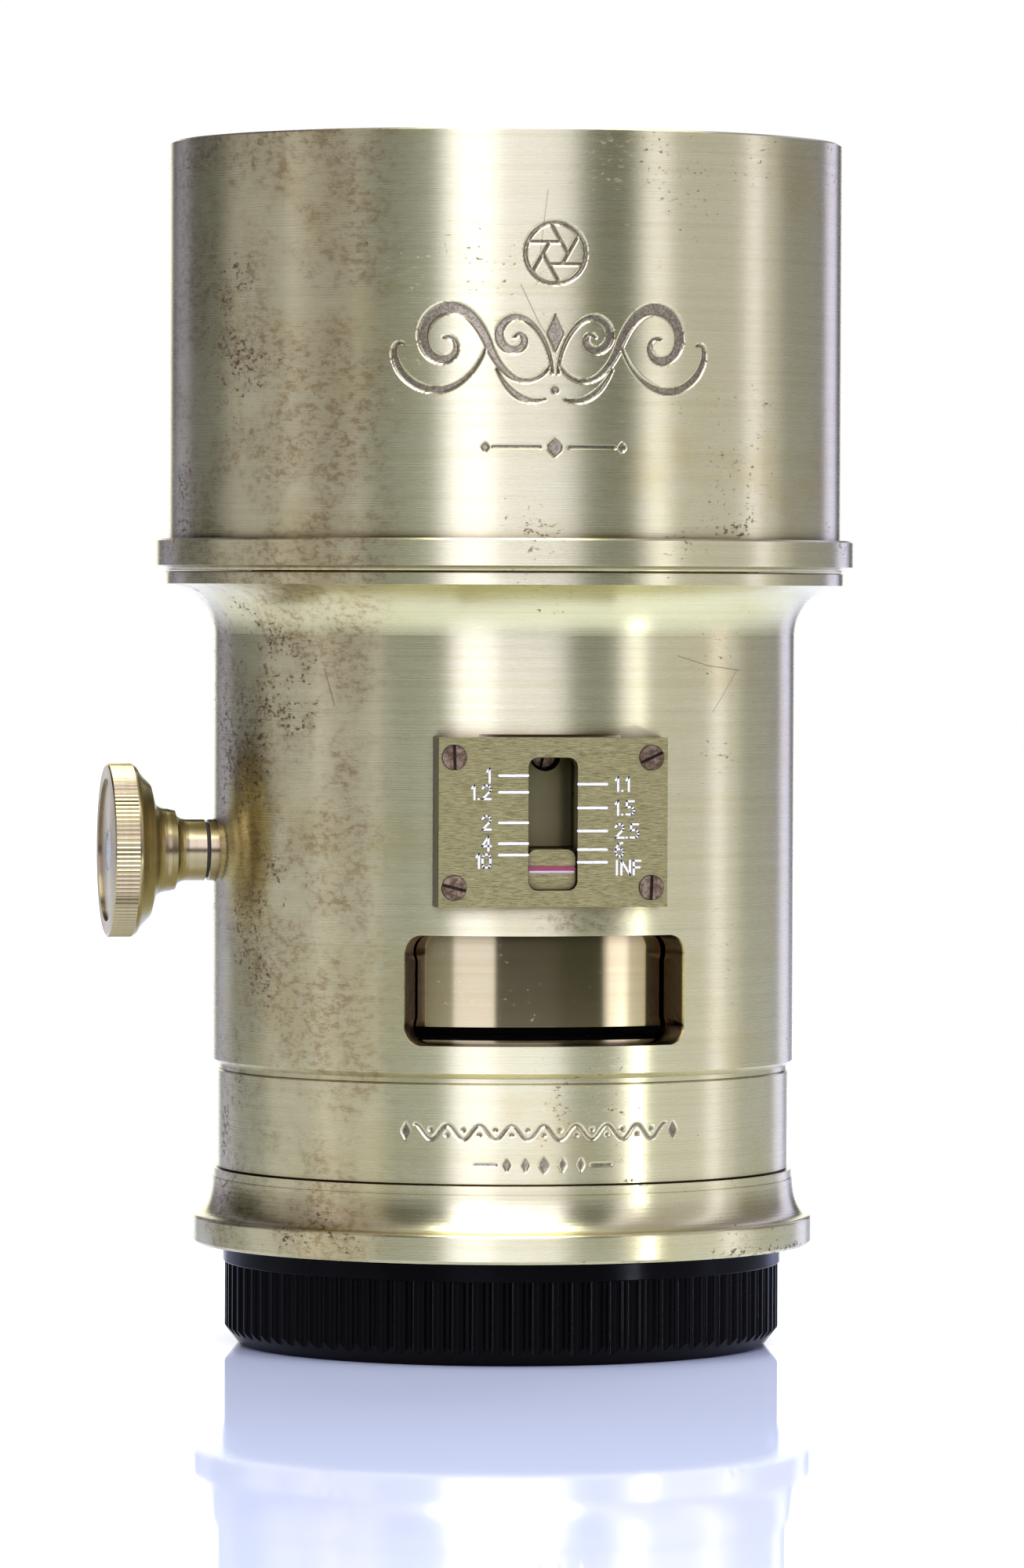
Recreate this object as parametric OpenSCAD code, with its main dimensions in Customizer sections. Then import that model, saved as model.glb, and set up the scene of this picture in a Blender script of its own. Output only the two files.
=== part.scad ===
// Brass portrait lens of the Petzval type, standing on its rear cap, front end up.
// Millimetres. +Z is the optical axis towards the front, the origin is the centre of the cap's base,
// the distance scale faces -Y and the focusing knob points to -X. Focus is at rest on its far stop.

/* [Optics] */
// Diameter of the front pair of glasses
glass_d = 42; // [36:0.5:51]
// Thickness of the front crown glass at its centre
crown_t = 11.5; // [10.5:0.1:13]
// Thickness of the front flint glass at its centre
flint_t = 2.5; // [1.5:0.1:4]
// Diameter of the rear pair of glasses
rear_glass_d = 34; // [28:0.5:36]
// Thickness of the rear flint glass at its centre
rear_flint_t = 1.5; // [1:0.1:2]
// Air gap between the rear glasses, on the axis
rear_air = 1.6; // [1.2:0.1:2.4]
// Thickness of the rear crown glass at its centre
rear_crown_t = 10.8; // [9:0.1:12]
// Step in radius from the bore of the tube out to the filter thread
filter_step = 5.1; // [3.5:0.1:6]
// Depth of the filter thread
filter_l = 5; // [3:0.5:8]

/* [Tube and barrel] */
// Wall of the cells where they sit in the tube
cell_wall = 2.8; // [2.4:0.1:3.5]
// Wall of the sliding tube
tube_wall = 2.7; // [2.5:0.1:4]
// Gap in radius between the sliding tube and the barrel
tube_gap = 0.4; // [0.3:0.05:0.8]
// Wall of the outer barrel
barrel_wall = 3.28; // [2.8:0.02:5]
// Length of the outer barrel above the lower ring
barrel_l = 51.6; // [43:0.1:70]
// Radius of the cove that flares the barrel out to the hood
flare_r = 5.15; // [4:0.05:7]
// Height of the straight edge above the flare
flare_edge = 1.3; // [0.8:0.1:3]

/* [Hood] */
// Length of the hood above its flange
hood_l = 41.05; // [30:0.05:60]
// Wall of the hood
hood_wall = 1.3; // [0.8:0.1:2]
// Step in radius from the barrel out to the hood
hood_step = 4.72; // [4:0.02:7]
// Lip of the flange outside the hood
flange_lip = 1.36; // [0.6:0.02:2]
// Height of the flange
flange_h = 3.25; // [2.5:0.05:5]

/* [Focusing] */
// Travel of the sliding tube, from far to near
focus_travel = 9.2; // [6:0.1:12]
// Module of the pinion and rack
gear_m = 0.4; // [0.35:0.01:0.45]
// Teeth on the pinion
pinion_teeth = 12; // [11:1:13]
// Diameter of the pinion's shaft
shaft_d = 3; // [2.4:0.1:3.6]
// Outside diameter of the focusing knob
knob_d = 18; // [15:0.1:22]
// Distance from the barrel to the knob's outer face
knob_reach = 11.32; // [9:0.02:14]
// Notches round the knob's rim
knurl_count = 120; // [80:1:140]

/* [Distance scale] */
// Width of the scale plate
plate_w = 23.5; // [19:0.1:28]
// Height of the plate above its window
plate_over = 2; // [1.5:0.05:4]
// Height of the plate below its window
plate_under = 1.7; // [1.5:0.05:4]
// How far the plate's face stands out from the barrel
plate_proud = 1.22; // [0.8:0.02:2]
// Depth of the flat cut for the plate
plate_flat = 0.88; // [0.5:0.02:1.2]
// Width of the plate's window
window_w = 5.05; // [4:0.05:6.5]
// Height of the pointer
pointer_h = 4; // [3:0.1:5]
// Diameter of the plate's screw heads
plate_screw_d = 2.45; // [2:0.05:3]
// Distance from the plate's screws to its edges, along X and Z
plate_screw_in = [1.7, 2];

/* [Stop window] */
// Width of the slot for a stop plate, measured along the slide
stop_slot_h = 1.34; // [1:0.02:2]
// Width of a stop plate
stop_plate_w = 39; // [30:0.5:40]
// Half the angle of the window, seen from the axis
stop_half_angle = 28.3; // [15:0.1:35]
// Corner radius of the stop window
stop_corner = 1.8; // [1:0.1:3]

/* [Lower ring, collar and cap] */
// Height of the lower ring
ring_h = 10.35; // [8:0.05:14]
// Height of the mount collar
collar_h = 7.75; // [7:0.05:10]
// Height of the rear cap
cap_h = 10.6; // [9:0.1:13]
// Thickness of the cap's floor
cap_floor = 1.8; // [1:0.1:2.5]
// Wall of the cap, over the ribs
cap_wall = 3.45; // [2.6:0.05:4.5]
// Flutes round the cap
flute_count = 90; // [60:1:96]
// Angle that the cap turns to come free
cap_turn = 60; // [55:1:62]
// Length of the bayonet below the mount face
bayonet_l = 5.05; // [4.5:0.05:6]
// Thickness of the mount flange
mount_t = 1.5; // [1.2:0.1:2.5]

/* [Hidden] */
$fn = 144;
EPS = 0.01;
FAR = 200;

// Clearances
FIXED = 0.05;       // between pieces fixed to each other
RUN = 0.05;         // radial, between a shaft or slide and its bearing
FREE = 0.3;         // between pieces that pass each other
SEAT = 0.1;         // between flat faces that close on each other

// Radii, from the front glass outwards
glass_r = glass_d / 2;
cell_r = glass_r + FIXED + cell_wall;
tube_in = cell_r + FIXED;
tube_r = tube_in + tube_wall;
bore_r = tube_r + tube_gap;
barrel_r = bore_r + barrel_wall;
hood_r = barrel_r + hood_step;
hood_in = hood_r - hood_wall;
flange_r = hood_r + flange_lip;
flare_lip = 1.03;
flare_top_r = flange_r - flare_lip;
filter_r = tube_in + filter_step;
filter_wall = 1.2;
neck_r = tube_r - 1;
sight_r = glass_r - 1.2;

// Radii at the rear, from the rear glass outwards
rear_r = rear_glass_d / 2;
nose_r = rear_r + FIXED + 2.45;
throat_r = nose_r + 1;
bayonet_r = throat_r + 2.9;
tab_r = bayonet_r + 1.8;
cap_bore = tab_r + FREE + 0.1;
cap_r = cap_bore + cap_wall;
spigot_r = barrel_r - 1.88;
ring_r = barrel_r - 0.52;
collar_r = barrel_r + 1.98;
mount_r = spigot_r + 0.5;
mount_screw_r = (bayonet_r + spigot_r) / 2 + 0.4;

// Heights
mount_z = cap_h + FIXED;
collar_top = mount_z + collar_h;
barrel_z = collar_top + ring_h;
barrel_top = barrel_z + barrel_l;
flange_z = barrel_top + SEAT;
flange_top = flange_z + flange_h;
hood_top = flange_top + hood_l;
spigot_z = mount_z + mount_t + FIXED;
inner_flange_top = spigot_z + 5.2;
tube_z = inner_flange_top + 2.2;
bayonet_z = mount_z - bayonet_l;
tab_h = 1.5;
tab_z = bayonet_z + 0.6;

// Stop slot and its window
stop_margin = [0.43, 0.18];     // window below and above the slot, at the two ends of the slide
stop_window_low = barrel_z + 3.75;
stop_z = stop_window_low + stop_margin[0];
stop_window_h = stop_margin[0] + stop_slot_h + focus_travel + stop_margin[1];
stop_window_top = stop_window_low + stop_window_h;

// Scale plate and pointer
plate_z = stop_window_top + 2.95;
plate_y = barrel_r + plate_proud;
flat_y = barrel_r - plate_flat;
window_z = plate_z + plate_under;
window_h = pointer_h + focus_travel + 2 * SEAT;
plate_h = plate_under + window_h + plate_over;
window_corner = 1;
plate_gap_top = 0.28;
screw_dx = plate_w / 2 - plate_screw_in[0];
screw_z = [plate_z + plate_screw_in[1], plate_z + plate_h - plate_screw_in[1]];
pointer_z = window_z + SEAT;
pointer_w = window_w - 2 * SEAT;
pointer_top = pointer_z + pointer_h;
lock_z = window_z + window_h + 0.1;

// Pinion, rack and knob
pinion_z = plate_z + 4.85;
pitch_r = gear_m * pinion_teeth / 2;
base_r = pitch_r * cos(20);
tip_r = pitch_r + gear_m;
root_r = pitch_r - 1.25 * gear_m;
tooth_pitch = PI * gear_m;
backlash = 0.12;
pocket_x = tube_in + 0.85;
pinion_l = tube_wall - 1.15;
rack_add = 0.75 * gear_m;
rack_back = pitch_r + 2.8;
rack_low = pinion_z - focus_travel - tip_r - 2.6;
rack_high = pinion_z + tip_r + 2.6;
rack_screw_y = pitch_r + 1.55;
knob_r = knob_d / 2;
bush_r = shaft_d / 2 + 1.45;
bush_head_r = bush_r + 0.25;
bush_seat = barrel_r - 0.6;
neck_out = 0.95;

// Guide key at the back
key_w = 4;
key_l = 8;
key_z = plate_z + 9.4;
key_in = tube_r - 1.2;
key_seat = bore_r + 0.5;

// Front cell
cell_flange_z = flange_top + 0.02;
filter_z = cell_flange_z + 2;
crown_top = filter_z - 0.5;
crown_z = crown_top - crown_t;
flint_z = crown_z - flint_t;
crown_front_r = 48 * glass_d / 42;
cement_r = 46 * glass_d / 42;
ring_seat_z = crown_top - sag(crown_front_r, sight_r) + 0.35;

// Rear cell
rear_top_z = inner_flange_top + 11.1;
rear_cell_top = rear_top_z + 2.5;
rear_flint_r = 38 * rear_glass_d / 34;
rear_crown_r = 42 * rear_glass_d / 34;
rear_back_r = 90 * rear_glass_d / 34;
rear_flint_z = rear_top_z - rear_flint_t;
rear_crown_z = rear_flint_z - rear_air;
rear_back_z = rear_crown_z - rear_crown_t;
rear_sight = rear_r - 1;
nose_z = rear_back_z - 1;

// Rise of a sphere of radius r at distance x from its axis
function sag(r, x) = r - sqrt(r * r - x * x);

// Points of an arc about c, from angle a to b
function arc(c, rx, ry, a, b, n = 10) =
    [for (i = [0:n]) let (t = a + (b - a) * i / n) [c[0] + rx * cos(t), c[1] + ry * sin(t)]];

// A piece turned on the lens's axis, from points [radius, height]
module turned(points) {
    rotate_extrude() polygon(points);
}

// A plain ring
module ring(r_out, r_in, z0, z1) {
    translate([0, 0, z0]) difference() {
        cylinder(r = r_out, h = z1 - z0);
        translate([0, 0, -1]) cylinder(r = r_in, h = z1 - z0 + 2);
    }
}

// A wedge about the Z axis, for cutting rings into tabs
module wedge(half, r, z0, z1) {
    translate([0, 0, z0]) linear_extrude(z1 - z0)
        polygon([[0, 0], [r * cos(half), -r * sin(half)], [r * 1.5, 0], [r * cos(half), r * sin(half)]]);
}

// Places a child at the scale side: X across, Y up the lens, Z out of the plate
module on_scale_side() {
    rotate([90, 0, 0]) children();
}

// Places a child on the knob's axis: Z out from the lens's axis
module on_knob_axis() {
    translate([0, 0, pinion_z]) rotate([0, -90, 0]) children();
}

// A rectangle with round corners, centred across and standing on y0
module round_rect(w, y0, h, r) {
    translate([-w / 2 + r, y0]) square([w - 2 * r, h]);
    translate([-w / 2, y0 + r]) square([w, h - 2 * r]);
    for (x = [-w / 2 + r, w / 2 - r], y = [y0 + r, y0 + h - r]) translate([x, y]) circle(r, $fn = 48);
}

// A slotted screw along +Z with its head's face at z = top
module slotted_screw(head_r, head_h, shank_r, top, bottom, slot_angle = 0) {
    slot_w = head_r * 0.26;
    difference() {
        union() {
            translate([0, 0, top - head_h]) cylinder(r = head_r, h = head_h, $fn = 48);
            translate([0, 0, bottom]) cylinder(r = shank_r, h = top - bottom - head_h * 0.8, $fn = 32);
        }
        rotate([0, 0, slot_angle]) translate([-head_r - 1, -slot_w / 2, top - head_h * 0.6])
            cube([2 * head_r + 2, slot_w, head_h]);
    }
}

// Barrel

barrel_chamfer = 0.68;
barrel_foot = 0.45;

module barrel_profile() {
    difference() {
        polygon([
            [throat_r, spigot_z],
            [spigot_r, spigot_z],
            [spigot_r, barrel_z],
            [barrel_r - barrel_chamfer, barrel_z],
            [barrel_r - barrel_chamfer, barrel_z + barrel_foot],
            [barrel_r, barrel_z + barrel_foot + barrel_chamfer * 0.8],
            [barrel_r, barrel_top - flare_edge - flare_r],
            [flare_top_r, barrel_top - flare_edge - flare_r],
            [flare_top_r, barrel_top - 0.15],
            [flare_top_r - 0.15, barrel_top],
            [bore_r, barrel_top],
            [bore_r, inner_flange_top],
            [throat_r, inner_flange_top]]);
        translate([barrel_r + flare_r, barrel_top - flare_edge - flare_r]) circle(flare_r);
    }
}

// Window in the barrel wall, its sides along the radii and its corners round
module stop_window() {
    inset = asin(stop_corner / barrel_r);
    low = stop_window_low + stop_corner;
    high = stop_window_top - stop_corner;
    rotate(-90) {
        wedge(stop_half_angle, barrel_r + 5, low, high);
        wedge(stop_half_angle - inset, barrel_r + 5, stop_window_low, stop_window_top);
    }
    for (side = [-1, 1], z = [low, high]) translate([0, 0, z])
        rotate([90, 0, side * (stop_half_angle - inset)])
            cylinder(r = stop_corner, h = barrel_r + 2, $fn = 64);
}

module outer_barrel() {
    color([0.74, 0.71, 0.56]) difference() {
        rotate_extrude() barrel_profile();
        difference() {
            stop_window();
            cylinder(r = bore_r - 2, h = FAR);
        }
        // flat seat for the scale plate
        translate([-plate_w / 2, -barrel_r - 5, plate_z])
            cube([plate_w, 5 + plate_flat, plate_h + plate_gap_top]);
        // opening behind the plate's window
        on_scale_side() translate([0, 0, bore_r - 5]) linear_extrude(10)
            round_rect(window_w + 0.6, window_z - 0.3, window_h + 0.6, window_corner);
        for (x = [-screw_dx, screw_dx], z = screw_z) translate([x, 0, z]) rotate([90, 0, 0])
            translate([0, 0, plate_screw_end()]) cylinder(r = 0.72, h = 10, $fn = 32);
        // bush
        on_knob_axis() {
            translate([0, 0, bore_r - 2]) cylinder(r = bush_r + FIXED, h = 8, $fn = 64);
            translate([0, 0, bush_seat]) cylinder(r = bush_head_r + FIXED, h = 5, $fn = 96);
        }
        // seat and screw holes for the guide key
        translate([-key_w / 2 - 0.02, 0, key_z - 0.02]) cube([key_w + 0.04, key_seat, key_l + 0.04]);
        for (z = key_screw_z()) translate([0, 0, z]) rotate([-90, 0, 0]) {
            cylinder(r = 0.85, h = FAR, $fn = 32);
            translate([0, 0, barrel_r - 1.1]) cylinder(r = 1.35, h = 5, $fn = 48);
        }
        for (a = mount_screw_angles()) rotate(a) translate([mount_screw_r, 0, spigot_z - 1])
            cylinder(r = 0.85, h = 5, $fn = 32);
    }
}

function plate_screw_end() = sqrt(pow(bore_r + 1, 2) - pow(screw_dx, 2));
function key_screw_z() = [key_z + 2, key_z + key_l - 2];
function mount_screw_angles() = [for (i = [0:3]) 15 + 90 * i];

module lower_ring() {
    color([0.76, 0.73, 0.58]) turned([
        [spigot_r + FIXED, collar_top + FIXED],
        [ring_r - 0.15, collar_top + FIXED],
        [ring_r, collar_top + FIXED + 0.15],
        [ring_r, barrel_z - FIXED - 0.15],
        [ring_r - 0.15, barrel_z - FIXED],
        [spigot_r + FIXED, barrel_z - FIXED]]);
}

module mount_collar() {
    band_top = mount_z + 2.65;
    step_z = collar_top - 0.9;
    step_r = barrel_r + 0.02;
    edge = 0.36;
    cove_r = collar_r - edge;
    cove_z = band_top + edge;
    color([0.74, 0.71, 0.56]) turned(concat(
        [[mount_r + FIXED, mount_z],
        [collar_r - 0.3, mount_z],
        [collar_r, mount_z + 0.3],
        [collar_r, band_top]],
        arc([cove_r, band_top], edge, edge, 0, 90, 4),
        arc([cove_r, step_z], cove_r - step_r, step_z - cove_z, 270, 180, 12),
        [[step_r - 0.1, step_z],
        [step_r - 0.1, collar_top],
        [spigot_r + FIXED, collar_top],
        [spigot_r + FIXED, spigot_z],
        [mount_r + FIXED, spigot_z]]));
}

// Bayonet

module bayonet_mount() {
    color([0.80, 0.80, 0.81]) difference() {
        union() {
            ring(mount_r, throat_r, mount_z, mount_z + mount_t);
            ring(bayonet_r, throat_r, bayonet_z, mount_z + EPS);
            for (i = [0:2]) rotate(90 + 120 * i) intersection() {
                ring(tab_r, throat_r + 1, tab_z, tab_z + tab_h);
                wedge(27.5, tab_r, tab_z - 1, tab_z + tab_h + 1);
            }
        }
        for (a = mount_screw_angles()) rotate(a) translate([mount_screw_r, 0, mount_z - 1]) {
            cylinder(r = 0.9, h = 5, $fn = 32);
            cylinder(r = 1.35, h = 1 + 0.8, $fn = 48);
        }
        // notch for the body's lock pin
        rotate(-52) translate([mount_screw_r, 0, mount_z - 1]) cylinder(r = 1, h = 5, $fn = 32);
    }
}

module mount_screws() {
    color([0.62, 0.62, 0.63])
    for (a = mount_screw_angles()) rotate(a) translate([mount_screw_r, 0, 0]) mirror([0, 0, 1])
        slotted_screw(1.3, 0.7, 0.8, -mount_z - 0.05, -mount_z - 4.4, 30);
}

// Scale plate and pointer

module scale_plate() {
    color([0.60, 0.57, 0.38]) difference() {
        translate([-plate_w / 2 + FIXED, -plate_y, plate_z + FIXED])
            cube([plate_w - 2 * FIXED, plate_y, plate_h - FIXED]);
        intersection() {
            cylinder(r = barrel_r + 0.02, h = FAR);
            translate([-FAR / 2, -flat_y - 0.02, 0]) cube(FAR);
        }
        translate([-FAR / 2, -barrel_r / 2, 0]) cube(FAR);
        on_scale_side() translate([0, 0, bore_r - 5]) linear_extrude(20)
            round_rect(window_w, window_z, window_h, window_corner);
        for (x = [-screw_dx, screw_dx], z = screw_z) translate([x, 0, z]) rotate([90, 0, 0]) {
            cylinder(r = 0.8, h = FAR, $fn = 32);
            translate([0, 0, plate_y - 0.45]) cylinder(r = plate_screw_d / 2 + FIXED, h = 5, $fn = 48);
        }
    }
}

module scale_plate_screws() {
    slot_angles = [[-15, 92], [88, 25]];
    color([0.55, 0.42, 0.33])
    for (i = [0, 1], j = [0, 1]) translate([(2 * i - 1) * screw_dx, 0, screw_z[j]]) rotate([90, 0, 0])
        slotted_screw(plate_screw_d / 2, 0.6, 0.7, plate_y + 0.17, plate_screw_end() + 0.3,
            slot_angles[i][j]);
}

pointer_face = plate_y - 0.75;
pointer_foot = tube_r - 1.2;

module pointer_block() {
    mid = pointer_z + pointer_h * 0.52;
    groove = 0.22;
    color([0.62, 0.58, 0.40]) difference() {
        on_scale_side() translate([0, 0, pointer_foot + 0.02]) linear_extrude(pointer_face - pointer_foot)
            round_rect(pointer_w, pointer_z, pointer_h, window_corner - SEAT);
        // index groove across the face
        translate([-pointer_w, -pointer_face, mid]) rotate([45, 0, 0])
            cube([2 * pointer_w, groove, groove]);
        translate([0, 0, pointer_z + pointer_h / 2]) rotate([90, 0, 0]) translate([0, 0, pointer_foot - 1])
            cylinder(r = 0.62, h = 3.6, $fn = 32);
    }
}

module pointer_screw() {
    color([0.55, 0.42, 0.33]) translate([0, 0, pointer_z + pointer_h / 2]) rotate([-90, 0, 0])
        slotted_screw(1.2, 0.6, 0.58, -tube_in - 0.1, -pointer_foot - 2.4, 0);
}

// Pinion, rack and knob

function roll(r) = sqrt(max(0, pow(r / base_r, 2) - 1));
function involute_angle(r) = roll(r) * 180 / PI - atan(roll(r));
function half_tooth(r) = 90 / pinion_teeth - backlash / 2 / pitch_r * 180 / PI
    + involute_angle(pitch_r) - involute_angle(max(r, base_r));
function polar(r, a) = [r * cos(a), r * sin(a)];

module pinion_outline() {
    radii = [root_r, base_r, (base_r + tip_r) / 2, tip_r];
    polygon([for (i = [0:pinion_teeth - 1]) let (a = i * 360 / pinion_teeth + 90) each concat(
        [for (r = radii) polar(r, a - half_tooth(r))],
        [for (k = [len(radii) - 1:-1:0]) polar(radii[k], a + half_tooth(radii[k]))])]);
}

module drive_pinion() {
    color([0.72, 0.60, 0.34]) on_knob_axis() translate([0, 0, pocket_x + 0.2]) difference() {
        linear_extrude(pinion_l) pinion_outline();
        translate([0, 0, -1]) cylinder(r = 1 + 0.02, h = pinion_l + 2, $fn = 48);
    }
}

module pinion_shaft() {
    color([0.66, 0.66, 0.67]) on_knob_axis() difference() {
        union() {
            translate([0, 0, pocket_x + 0.25]) cylinder(r = 1, h = 3, $fn = 48);
            translate([0, 0, pocket_x + 0.2 + pinion_l])
                cylinder(r = shaft_d / 2, h = shaft_end() - pocket_x - 0.2 - pinion_l, $fn = 64);
        }
        translate([0, 0, shaft_end() - 3.5]) cylinder(r = 0.8, h = 5, $fn = 32);
    }
}

function shaft_end() = barrel_r + knob_reach - 2;

module focus_rack() {
    flank = tan(20);
    half = tooth_pitch / 4 - backlash / 2;
    color([0.72, 0.60, 0.34]) difference() {
        translate([-pocket_x, 0, 0]) rotate([0, -90, 0]) linear_extrude(pinion_l - 0.1) union() {
            translate([rack_low, pitch_r + gear_m * 1.25])
                square([rack_high - rack_low, rack_back - pitch_r - gear_m * 1.25]);
            for (k = [-floor((focus_travel + tip_r) / tooth_pitch) - 1:floor(tip_r / tooth_pitch)])
                translate([pinion_z + (k + 0.5) * tooth_pitch, pitch_r]) polygon([
                    [-half - gear_m * 1.3 * flank, gear_m * 1.3],
                    [-half + rack_add * flank, -rack_add],
                    [half - rack_add * flank, -rack_add],
                    [half + gear_m * 1.3 * flank, gear_m * 1.3]]);
        }
        for (z = rack_screw_z()) translate([0, rack_screw_y, z]) rotate([0, -90, 0]) {
            cylinder(r = 0.62, h = FAR, $fn = 32);
            translate([0, 0, pocket_x + pinion_l - 0.1 - 0.6]) cylinder(r = 0.92, h = 5, $fn = 32);
        }
    }
}

function rack_screw_z() = [rack_low + 1.3, rack_high - 1.3];

module rack_screws() {
    color([0.55, 0.42, 0.33])
    for (z = rack_screw_z()) translate([0, rack_screw_y, z]) rotate([0, -90, 0])
        slotted_screw(0.88, 0.55, 0.6, pocket_x + pinion_l - 0.12, pocket_x - 0.65, 20);
}

module pinion_bush() {
    top = barrel_r + neck_out - 0.12;
    color([0.72, 0.62, 0.42]) on_knob_axis() turned([
        [shaft_d / 2 + RUN, bore_r],
        [bush_r, bore_r],
        [bush_r, bush_seat + 0.02],
        [bush_head_r, bush_seat + 0.02],
        [bush_head_r, top - 0.1],
        [bush_head_r - 0.1, top],
        [shaft_d / 2 + RUN, top]]);
}

washer_t = 0.2;

module friction_washer() {
    z = barrel_r + neck_out - 0.1;
    color([0.15, 0.14, 0.13]) on_knob_axis()
        ring(bush_head_r - 0.35, shaft_d / 2 + RUN, z, z + washer_t);
}

module focus_knob() {
    face = barrel_r + knob_reach;
    low = barrel_r + neck_out + washer_t;
    sleeve = bush_head_r;
    knurl_low = face - 2.55;
    knurl_high = face - 0.15;
    tooth = 0.16;
    color([0.76, 0.66, 0.42]) on_knob_axis() difference() {
        union() {
            turned(concat(
                [[0, low],
                [sleeve, low],
                [sleeve, barrel_r + 3]],
                arc([sleeve + 0.95, barrel_r + 3], 0.95, 1.25, 180, 90, 6),
                [[sleeve + 1.05, barrel_r + 4.7]],
                arc([sleeve + 2.1, barrel_r + 4.9], 1, 1.5, 180, 90, 6),
                [[knob_r - 2, face - 4.42],
                [knob_r - 1.2, face - 3.62],
                [knob_r - 0.8, face - 3.3]],
                arc([knob_r - 0.7, knurl_low], 0.6, 0.6, -80, 0, 5),
                [[knob_r - 0.1, knurl_high],
                [knob_r - 0.25, face],
                [0, face]]));
            translate([0, 0, knurl_low]) linear_extrude(knurl_high - knurl_low)
                polygon([for (i = [0:2 * knurl_count - 1])
                    polar(knob_r - tooth * (i % 2), i * 180 / knurl_count)]);
        }
        cylinder(r = shaft_d / 2 + 0.02, h = shaft_end() + FIXED, $fn = 64);
        cylinder(r = 0.95, h = FAR, $fn = 32);
        translate([0, 0, face - 0.9]) cylinder(r = 2.1, h = 5, $fn = 64);
        // shallow dish in the face
        translate([0, 0, face - 0.25]) cylinder(r = knob_r - 1.6, h = 5, $fn = 96);
    }
}

module knob_screw() {
    face = barrel_r + knob_reach;
    color([0.62, 0.62, 0.63]) on_knob_axis()
        slotted_screw(2.05, 0.6, 0.75, face - 0.27, shaft_end() - 3, 35);
}

// Guide key

module guide_key() {
    color([0.72, 0.60, 0.34]) difference() {
        translate([-key_w / 2, key_in, key_z]) cube([key_w, key_seat - key_in - 0.02, key_l]);
        for (z = key_screw_z()) translate([0, 0, z]) rotate([-90, 0, 0])
            cylinder(r = 0.62, h = FAR, $fn = 32);
    }
}

module guide_key_screws() {
    color([0.55, 0.42, 0.33])
    for (z = key_screw_z()) translate([0, 0, z]) rotate([-90, 0, 0])
        slotted_screw(1.3, 0.8, 0.6, barrel_r - 0.1, key_in + 0.2, 70);
}

// Sliding tube

land_h = 8;
land_low = tube_z + 0.6;
land_high = barrel_top - 14.5;

module inner_tube() {
    land_r = bore_r - RUN;
    color([0.80, 0.66, 0.36]) difference() {
        turned([
            [tube_in, tube_z],
            [tube_r, tube_z],
            [tube_r, land_low],
            [land_r, land_low + 0.3],
            [land_r, land_low + land_h],
            [tube_r, land_low + land_h + 0.3],
            [tube_r, land_high],
            [land_r, land_high + 0.3],
            [land_r, land_high + 6],
            [tube_r, land_high + 6.3],
            [tube_r, flange_z],
            [neck_r, flange_z],
            [neck_r, flange_top - FIXED],
            [tube_in, flange_top - FIXED]]);
        // slot for a stop plate
        translate([-stop_plate_w / 2, -FAR, stop_z]) cube([stop_plate_w, FAR - tube_in / 2, stop_slot_h]);
        // pocket for the rack and pinion
        translate([-FAR, -tip_r - FREE, rack_low - FIXED])
            cube([FAR - pocket_x, tip_r + FREE + rack_back + FIXED, rack_high - rack_low + 2 * FIXED]);
        for (z = rack_screw_z()) translate([0, rack_screw_y, z]) rotate([0, -90, 0])
            translate([0, 0, pocket_x - 0.7]) cylinder(r = 0.62, h = 2, $fn = 32);
        // seat of the pointer
        translate([-window_w / 2 - 0.3, -FAR, pointer_z - 0.3])
            cube([window_w + 0.6, FAR - pointer_foot, pointer_h + 0.55]);
        translate([0, 0, pointer_z + pointer_h / 2]) rotate([90, 0, 0]) {
            cylinder(r = 0.62, h = FAR, $fn = 32);
            cylinder(r = 1.25, h = tube_in + 0.75, $fn = 48);
        }
        // hole of the cell's lock screw
        translate([0, 0, lock_z]) rotate([90, 0, 0]) cylinder(r = 1.6, h = FAR, $fn = 64);
        // groove of the guide key
        translate([-key_w / 2 - RUN, key_in - FREE, key_z - focus_travel - FREE])
            cube([key_w + 2 * RUN, FAR, key_l + focus_travel + 2 * FREE]);
    }
}

// Hood

hood_spigot = 3.5;
hood_spigot_wall = 1.75;
cell_flange_r = hood_in - FIXED - hood_spigot_wall - FREE;

module hood_base() {
    spigot_out = hood_in - FIXED;
    cove = 0.5;
    color([0.74, 0.71, 0.56]) turned(concat(
        [[neck_r + FIXED, flange_z],
        [flare_top_r - 0.12, flange_z]],
        arc([flange_r, flange_z], flange_r - flare_top_r + 0.12, cove, 180, 90, 6),
        [[flange_r, flange_top - 0.2],
        [flange_r - 0.2, flange_top],
        [spigot_out, flange_top],
        [spigot_out, flange_top + hood_spigot],
        [spigot_out - hood_spigot_wall, flange_top + hood_spigot],
        [spigot_out - hood_spigot_wall, flange_top],
        [neck_r + FIXED, flange_top]]));
}

module hood() {
    edge = 0.18;
    color([0.78, 0.75, 0.60]) turned([
        [hood_in, flange_top + 0.02],
        [hood_r, flange_top + 0.02],
        [hood_r, hood_top - edge],
        [hood_r - edge, hood_top],
        [hood_in + edge, hood_top],
        [hood_in, hood_top - edge]]);
}

// Front cell and its glasses

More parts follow.
